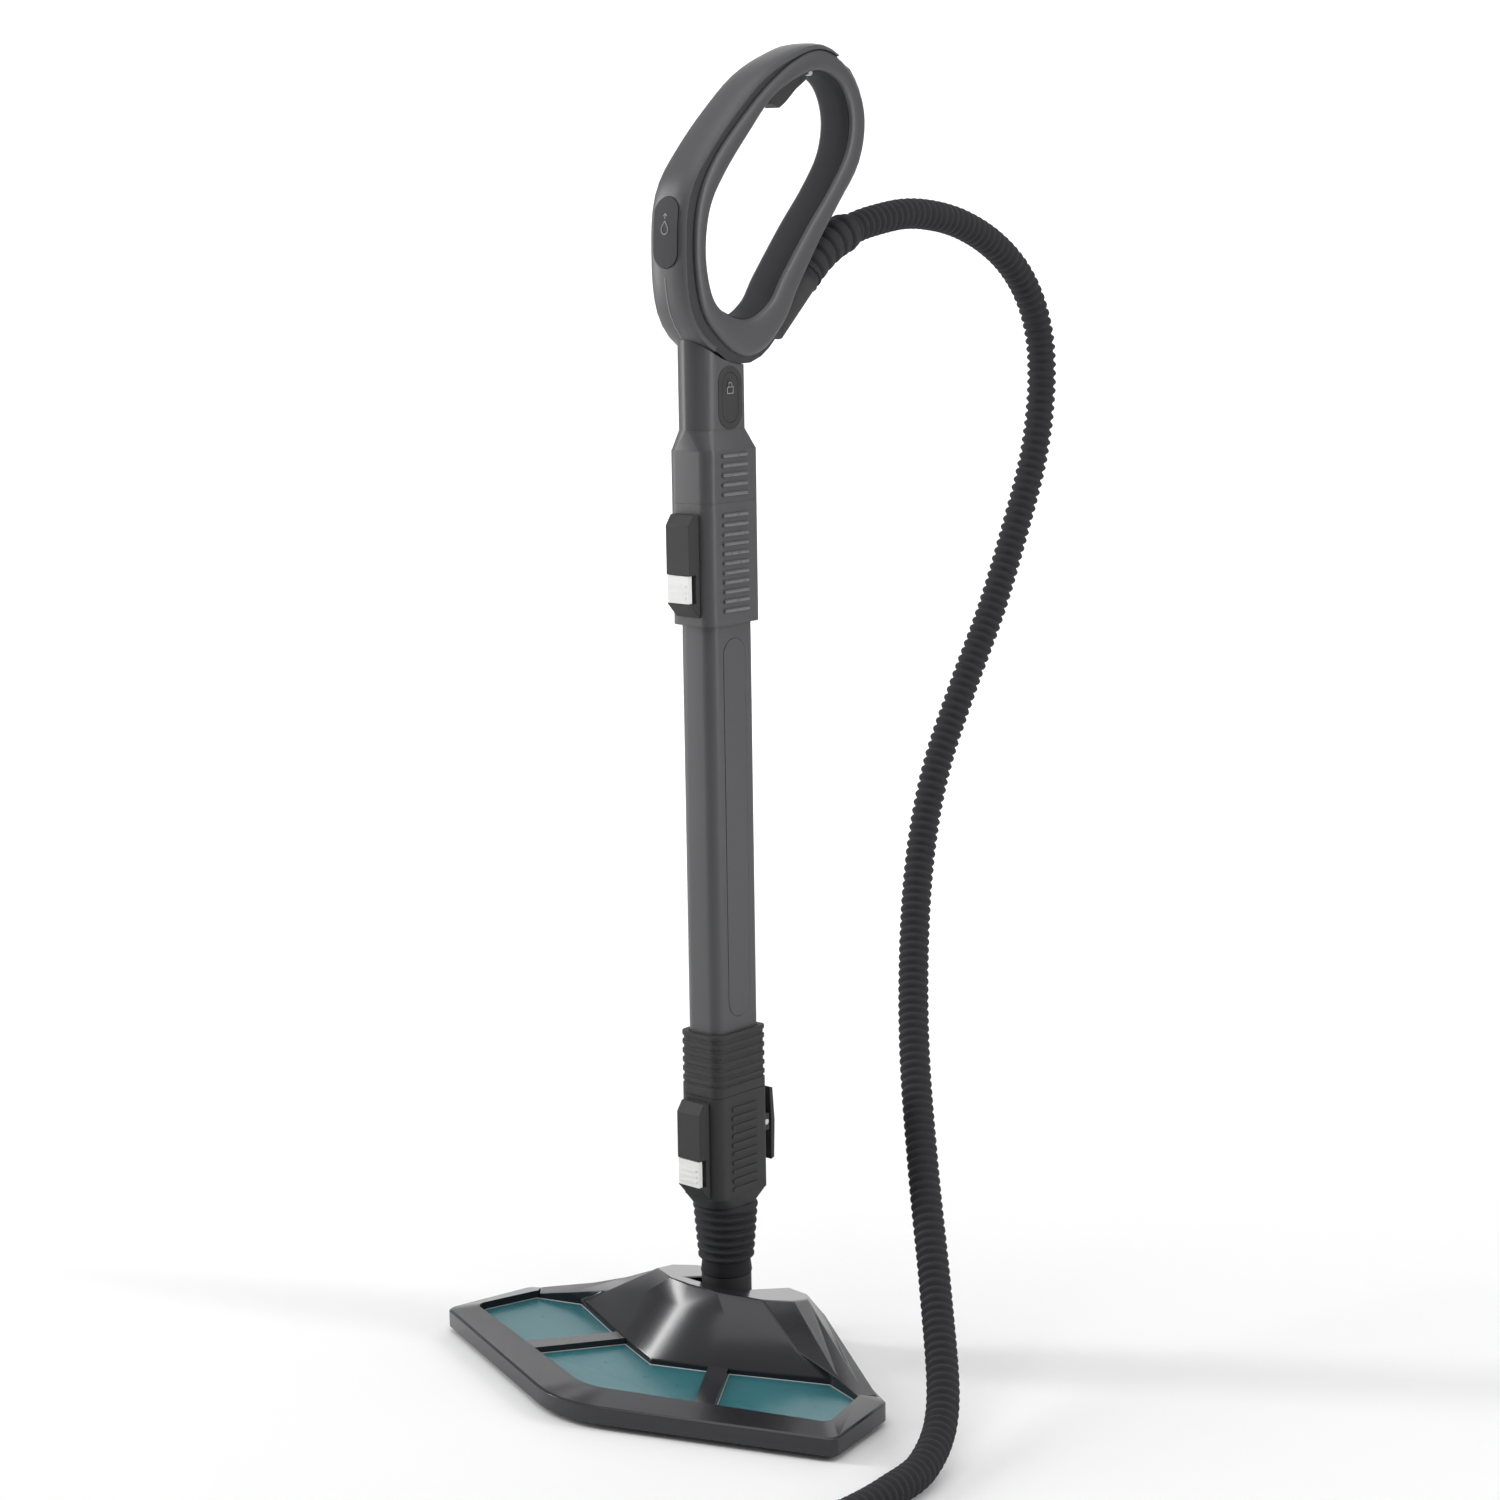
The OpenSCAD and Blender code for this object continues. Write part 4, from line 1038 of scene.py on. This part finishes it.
@dataclass
class LoopHandle:
    """Rounded side bands and soft lining of the loop, its cuff, its signs and a painted highlight line
    down its cover.
    """

    at_z: float = 0.687
    rows: tuple[tuple[float, float, float], ...] = (
        (-18, 79, 11.5), (-13, 108, 13), (2, 131, 14.4), (26, 157, 12.7), (50, 180, 10),
        (78, 194, 12.6), (100, 198, 14.4), (120, 189, 13.8), (129, 169, 16), (125, 145, 15.5),
        (108, 121, 13.5), (84, 95, 15.5), (57, 63, 18.5), (43, 45, 20.6), (22, 35, 25),
        (0, 40, 17.5), (-12.5, 52, 13.1),
    )
    core_x: float = 12.2
    cuff_from: float = 138.0
    cuff_turn: float = 32.9
    elbow_radius: float = 0.108
    cuff_start: tuple[float, float] = (0.090, 0.746)
    cuff_radius: float = 0.0137
    groove_depth: float = 0.0022
    cuff_end: float = 0.0124
    cuff_lip: float = 0.0119
    sign_step: float = 0.8
    sign_sunk: float = 0.35
    steam_z: float = 783.0
    crease_highlight_z: float = 751
    lock_z: float = 678

    def band(self, name: str, section: Callable[[float], list[tuple[float, float]]]) -> Piece:
        """Sweep a section round the loop.

        Args:
            name: the piece's name.
            section: gives, for a reach outwards, the corners as (outwards, sideways) in millimetres.

        Returns:
            The piece.
        """
        path = spline([Vector(row) for row in self.rows], 8, closed=True)
        rings = []
        for i, at in enumerate(path):
            ahead = path[(i + 1) % len(path)] - path[i - 1]
            along = Vector((ahead.x, ahead.y)).normalized()
            rings.append([
                Vector((x, at.x - along.y * d, at.y + along.x * d)) / 1000 + Vector((0, 0, self.at_z))
                for d, x in section(at.z)
            ])
        return lofted(name, rings, closed=True)

    def sides(self) -> None:
        """Make the two crowned side bands."""
        for name, side in (("side_band_left", -1), ("side_band_right", 1)):
            def section(reach: float, side: int = side) -> list[tuple[float, float]]:
                """Return the crowned section."""
                wide = reach - 0.6
                crown = []
                for j in range(13):
                    turn = math.pi * j / 12
                    swell = math.sin(turn) ** 0.55
                    crown.append((0.3 + wide * (0.5 - 0.5 * math.cos(turn)), side * (12.4 + 2.7 * swell)))
                return crown
            ready(self.band(name, section), "wand", Finish.CHARCOAL,
                  ("cheek_left" if side < 0 else "cheek_right",), 0.9)

    def lining(self) -> None:
        """Make the soft lining, with the slot that the trigger comes through."""
        x = self.core_x
        curve = [Vector(p) for p in ((-0.5, x - 0.7, 0), (-1.6, x - 3, 0), (-2.4, x / 2, 0), (-2.8, 0, 0),
                                     (-2.4, -x / 2, 0), (-1.6, 3 - x, 0), (-0.5, 0.7 - x, 0))]
        inside = [(p.x, p.y) for p in spline(curve, 3)]
        corners = [(1.7, -x), (1.7, x), (0.4, x)] + inside + [(0.4, -x)]
        piece = self.band("grip_lining", lambda reach: corners)
        slot = [(50, -34), (50, -1), (72, 6), (98, 7), (98, -34)]
        rings = [[Vector((side * 6.4, y, z + 884)) / 1000 for y, z in slot] for side in (-1, 1)]
        carve(piece, lofted("slot_tool", rings))
        pin = [
            [Vector((side * 20, 90 + 2.35 * math.cos(a), 884 + 2.35 * math.sin(a))) / 1000
             for a in (math.tau * i / 24 for i in range(24))]
            for side in (-1, 1)
        ]
        carve(piece, lofted("pin_tool", pin))
        ready(piece, "wand", Finish.RUBBER, ("grip_liner",), 0.7)

    def cuff(self) -> None:
        """Make the bend relief where the hose leaves the loop."""
        start = math.radians(self.cuff_from)
        middle = Vector((0, self.cuff_start[0], self.cuff_start[1])) - self.elbow_radius * Vector(
            (0, math.cos(start), math.sin(start)))
        rings = []
        steps = 120
        for i in range(steps + 1):
            angle = start - math.radians(self.cuff_turn) * i / steps
            out = Vector((0, math.cos(angle), math.sin(angle)))
            along = 6 * i / steps
            groove = 0.5 + 0.5 * math.cos(math.tau * along)
            radius = self.cuff_end
            if 0.5 < along < 5.5:
                radius = self.cuff_radius - self.groove_depth * groove ** 4
            if i in (0, steps):
                radius = self.cuff_lip
            rings.append([
                middle
                + (self.elbow_radius + radius * math.cos(a)) * out
                + Vector((radius * math.sin(a), 0, 0))
                for a in (math.tau * j / 40 for j in range(40))
            ])
        ready(lofted("hose_bend_relief", rings), "wand", Finish.RUBBER, ("hose_cuff",), 1.0)

    def signs(self, nodes: Nodes) -> None:
        """Draw the steam sign and the padlock as raised lines, and a pale raised line down the crease
        whose pale grey is a painted highlight.

        Args:
            nodes: the CAD nodes by name.
        """
        drop = [(0, 4.5), (1.6, 2.0), (2.9, -0.4), (2.7, -2.4), (1.5, -3.8), (0, -4.3),
                (-1.5, -3.8), (-2.7, -2.4), (-2.9, -0.4), (-1.6, 2.0), (0, 4.5)]
        arrow = [[(0, 5.8), (0, 9.2)], [(-1.5, 7.6), (0, 9.2), (1.5, 7.6)]]
        steam = [[(x, self.steam_z + z) for x, z in line] for line in [drop] + arrow]
        # A pale line down the cover's crease, a painted highlight of the ridge.
        crease = [[(-1.0, self.crease_highlight_z - 2.2 * i) for i in range(19)]]
        lock = [[(y, self.lock_z + z) for y, z in line] for line in (
            [(-0.4, 0), (5.2, 0), (5.2, -4.2), (-0.4, -4.2), (-0.4, 0)],
            [(0.7, 0), (0.7, 1.8), (1.5, 3.0), (3.3, 3.0), (4.1, 1.8), (4.1, 0)])]
        back, left = Vector((0, 1, 0)), Vector((-1, 0, 0))
        self.drawn("steam_sign", steam, nodes["steam_button"], "steam_button_body", back, 0.00032)
        self.drawn("cover_crease_highlight", crease, nodes["front_cover"], "wand", back, 0.00030)
        self.drawn("lock_sign", lock, nodes["lock_button"], "lock_button_body", left, 0.00028)

    def drawn(
        self, name: str, lines: list, on: Piece, body: str, aim: Vector, radius: float
    ) -> None:
        """Raise thin lines on a node's surface.

        Args:
            name: the piece's name.
            lines: the lines, as pairs of sideways and upwards in millimetres.
            on: the node that they lie on.
            body: the body that it rides on.
            aim: the way that they are pressed onto it.
            radius: the lines' radius in metres.
        """
        graph = bpy.context.evaluated_depsgraph_get()
        tree = BVHTree.FromObject(on, graph)
        points, joins = [], []
        for line in lines:
            fine = []
            for (a, b), (c, d) in zip(line, line[1:]):
                steps = max(1, round(math.hypot(c - a, d - b) / self.sign_step))
                fine += [(a + (c - a) * i / steps, b + (d - b) * i / steps) for i in range(steps)]
            fine.append(line[-1])
            last = None
            for side, up in fine:
                flat = Vector((side, 0, up)) if aim.y else Vector((0, side, up))
                hit = tree.ray_cast(flat / 1000 - aim * 0.3, aim)[0]
                if hit is None:
                    last = None
                    continue
                points.append(hit - aim * radius * self.sign_sunk)
                if last is not None:
                    joins.append((last, len(points) - 1))
                last = len(points) - 1
        piece = made(name, points, [], joins)
        cord = Pattern(name + "_line")
        cord.wire(cord.start.outputs["Geometry"], "Line radius", radius, 8)
        # The signs' grey; on the crease it is a painted highlight.
        cord.grow(piece, Finish.SIGN)
        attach(piece, body)

    def build(self, nodes: Nodes) -> None:
        """Make all of it from the CAD nodes."""
        self.sides()
        self.lining()
        self.cuff()
        self.signs(nodes)


# ---------------------------------------------------------------- studio


@dataclass
class Studio:
    """Pale floor with a swept-up back, soft lights and the camera."""

    azimuth: float = 42.11
    pitch: float = 10.27
    roll: float = -0.84
    eye: Point = (1.3793, -1.4934, 0.7997)
    lens: float = 72.77
    sweep_at: float = 2.6
    sweep_radius: float = 1.6

    def camera(self) -> None:
        """Make the camera and use it."""
        turn = math.radians(self.azimuth)
        tilt = math.radians(self.pitch)
        ahead = Vector(
            (-math.sin(turn) * math.cos(tilt), math.cos(turn) * math.cos(tilt), -math.sin(tilt))
        )
        level = Vector((math.cos(turn), math.sin(turn), 0))
        above = level.cross(ahead)
        lean = math.radians(self.roll)
        right = math.cos(lean) * level + math.sin(lean) * above
        up = -math.sin(lean) * level + math.cos(lean) * above
        data = bpy.data.cameras.new("camera")
        data.sensor_width = 36
        data.lens = self.lens
        data.clip_end = 60
        camera = bpy.data.objects.new("camera", data)
        frame = Matrix((right, up, -ahead)).transposed().to_4x4()
        camera.matrix_world = Matrix.Translation(self.eye) @ frame
        bpy.context.scene.collection.objects.link(camera)
        bpy.context.scene.camera = camera

    def floor(self) -> None:
        """Make the floor and the back that it sweeps up into."""
        away = Vector((-math.sin(math.radians(self.azimuth)), math.cos(math.radians(self.azimuth)), 0))
        side = Vector((away.y, -away.x, 0))
        profile = [(-6.0, 0.0), (self.sweep_at, 0.0)]
        for i in range(1, 25):
            angle = math.radians(90 * i / 24)
            reach = self.sweep_at + self.sweep_radius * math.sin(angle)
            profile.append((reach, self.sweep_radius * (1 - math.cos(angle))))
        profile.append((profile[-1][0], 7.0))
        points, faces = [], []
        for i, (reach, height) in enumerate(profile):
            for s in (-8.0, 8.0):
                points.append(away * reach + side * s + Vector((0, 0, height)))
            if i:
                faces.append((2 * i - 2, 2 * i - 1, 2 * i + 1, 2 * i))
        floor = made("floor", points, faces)
        for face in floor.data.polygons:
            face.use_smooth = True
        sheet = Sheet("floor_paper")
        sheet.feed(Base_Color=sheet.blend(sheet.noise(3, 2), (0.86, 0.86, 0.86), (0.88, 0.88, 0.88)))
        sheet.set(Roughness=0.9, Specular_IOR_Level=0.1)
        floor.data.materials.append(sheet.material)

    def light(self, name: str, at: Point, towards: Point, size: tuple[float, float], power: float) -> None:
        """Hang one soft box.

        Args:
            name: the light's name.
            at: its place.
            towards: the point that it faces.
            size: its width and height.
            power: its power in watts.
        """
        data = bpy.data.lights.new(name, "AREA")
        data.shape = "RECTANGLE"
        data.size, data.size_y = size
        data.energy = power
        lamp = bpy.data.objects.new(name, data)
        aim = Vector(towards) - Vector(at)
        lamp.matrix_world = Matrix.Translation(at) @ aim.to_track_quat("-Z", "Y").to_matrix().to_4x4()
        bpy.context.scene.collection.objects.link(lamp)

    def build(self) -> None:
        """Make the camera, the floor, the lights and the air's own light."""
        self.camera()
        self.floor()
        self.light("top_box", (0.2, -0.4, 2.6), (0, 0, 0.3), (2.4, 2.4), 22)
        self.light("left_box", (-2.1, -1.35, 1.2), (0, 0, 0.45), (0.25, 2.2), 44)
        self.light("right_box", (2.2, 0.9, 1.2), (0, 0, 0.45), (0.25, 2.0), 26)
        self.light("back_box", (-0.6, 2.1, 1.7), (0, 0, 0.4), (1.8, 1.2), 5)
        self.light("wall_box", (-1.15, 1.27, 2.5), (-2.9, 3.2, 0.7), (3.2, 1.0), 85)
        world = bpy.data.worlds.new("air")
        world.use_nodes = True
        graph = Graph()
        graph.tree = world.node_tree
        back = graph.tree.nodes["Background"]
        where = graph.add("ShaderNodeTexCoord")
        axes = graph.add("ShaderNodeSeparateXYZ")
        fade = graph.add("ShaderNodeMapRange")
        put(fade, From_Min=0.05, From_Max=0.75, To_Min=0.06, To_Max=0.55)
        graph.join(where, "Generated", axes, "Vector")
        graph.join(axes, "Z", fade, "Value")
        graph.join(fade, "Result", back, "Strength")
        put(back, Color=(1, 1, 1, 1))
        bpy.context.scene.world = world
        bpy.context.scene.view_settings.view_transform = "Standard"


# ---------------------------------------------------------------- all of it


CRISP = {
    "dome_cover": (0.45, 0.0014),
    "base_frame": (0.3, 0.0008),
    "trigger_spring": (0.9, 0.0),
    "lower_spring": (0.9, 0.0),
    "upper_spring": (0.9, 0.0),
    "lock_spring": (0.9, 0.0),
    "hose_connector": (0.6, 0.0),
}
SLOT_FINISH = {finish.value.name: finish for finish in Finish}


def dress_frame(frame: dict) -> None:
    """Give each CAD node the finish of its material slot.
    """
    for part in frame["record"]["subparts"]:
        node = frame["nodes"][part["node"]]
        dress(node, SLOT_FINISH[part["material_slot"]])
        sharp, edge = CRISP.get(part["node"], (SHARP_ANGLE, EDGE_WIDTH))
        shade(node, sharp)
        soften(node, edge)


def shade_tree() -> bpy.types.NodeTree:
    """Return the tree that welds a shell and smooths it between its sharp edges."""
    tree = bpy.data.node_groups.get("soft_shading")
    if tree:
        return tree
    tree = bpy.data.node_groups.new("soft_shading", "GeometryNodeTree")
    tree.interface.new_socket("Geometry", in_out="INPUT", socket_type="NodeSocketGeometry")
    sharp = tree.interface.new_socket("Sharp angle", in_out="INPUT", socket_type="NodeSocketFloat")
    sharp.default_value = SHARP_ANGLE
    tree.interface.new_socket("Geometry", in_out="OUTPUT", socket_type="NodeSocketGeometry")
    graph = Graph()
    graph.tree = tree
    start = graph.add("NodeGroupInput")
    end = graph.add("NodeGroupOutput")
    weld = graph.add("GeometryNodeMergeByDistance")
    put(weld, Distance=0.000002)
    faces = graph.add("GeometryNodeSetShadeSmooth")
    edges = graph.add("GeometryNodeSetShadeSmooth", domain="EDGE")
    put(edges, Shade_Smooth=False)
    angle = graph.add("GeometryNodeInputMeshEdgeAngle")
    over = graph.add("FunctionNodeCompare")
    graph.join(start, "Geometry", weld)
    graph.join(weld, "Geometry", faces)
    graph.join(faces, "Geometry", edges)
    graph.join(angle, "Unsigned Angle", over, "A")
    graph.join(start, "Sharp angle", over, "B")
    graph.join(over, "Result", edges, "Selection")
    graph.join(edges, "Geometry", end)
    return tree


def shade(piece: Piece, sharp: float = SHARP_ANGLE) -> None:
    """Smooth a piece's shading between edges sharper than an angle in radians."""
    modifier = piece.modifiers.new("soft_shading", "NODES")
    modifier.node_group = shade_tree()
    for item in modifier.node_group.interface.items_tree:
        if item.name == "Sharp angle":
            modifier[item.identifier] = sharp


def soften(piece: Piece, width: float) -> None:
    """Break a piece's sharp edges so that they catch the light.

    Args:
        piece: the piece.
        width: the broken edge's width in metres, or nothing.
    """
    if not width:
        return
    bevel = piece.modifiers.new("edges", "BEVEL")
    bevel.width = width
    bevel.segments = 2
    bevel.limit_method = "ANGLE"
    bevel.angle_limit = math.radians(28)
    bevel.harden_normals = False


def main() -> None:
    """Build the scene round the frame; many of the pieces are logged as they are made."""
    logging.basicConfig(level=logging.INFO, format="%(name)s: %(message)s")
    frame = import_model()
    nodes = frame["nodes"]
    Studio().build()
    SteamHose().build(nodes)
    dress_frame(frame)
    FloorBrush().build(nodes)
    SwivelBoot().build()
    CollarRibHighlights().build()
    LoopHandle().build(nodes)
    bpy.context.view_layer.update()


if __name__ == "__main__":
    main()
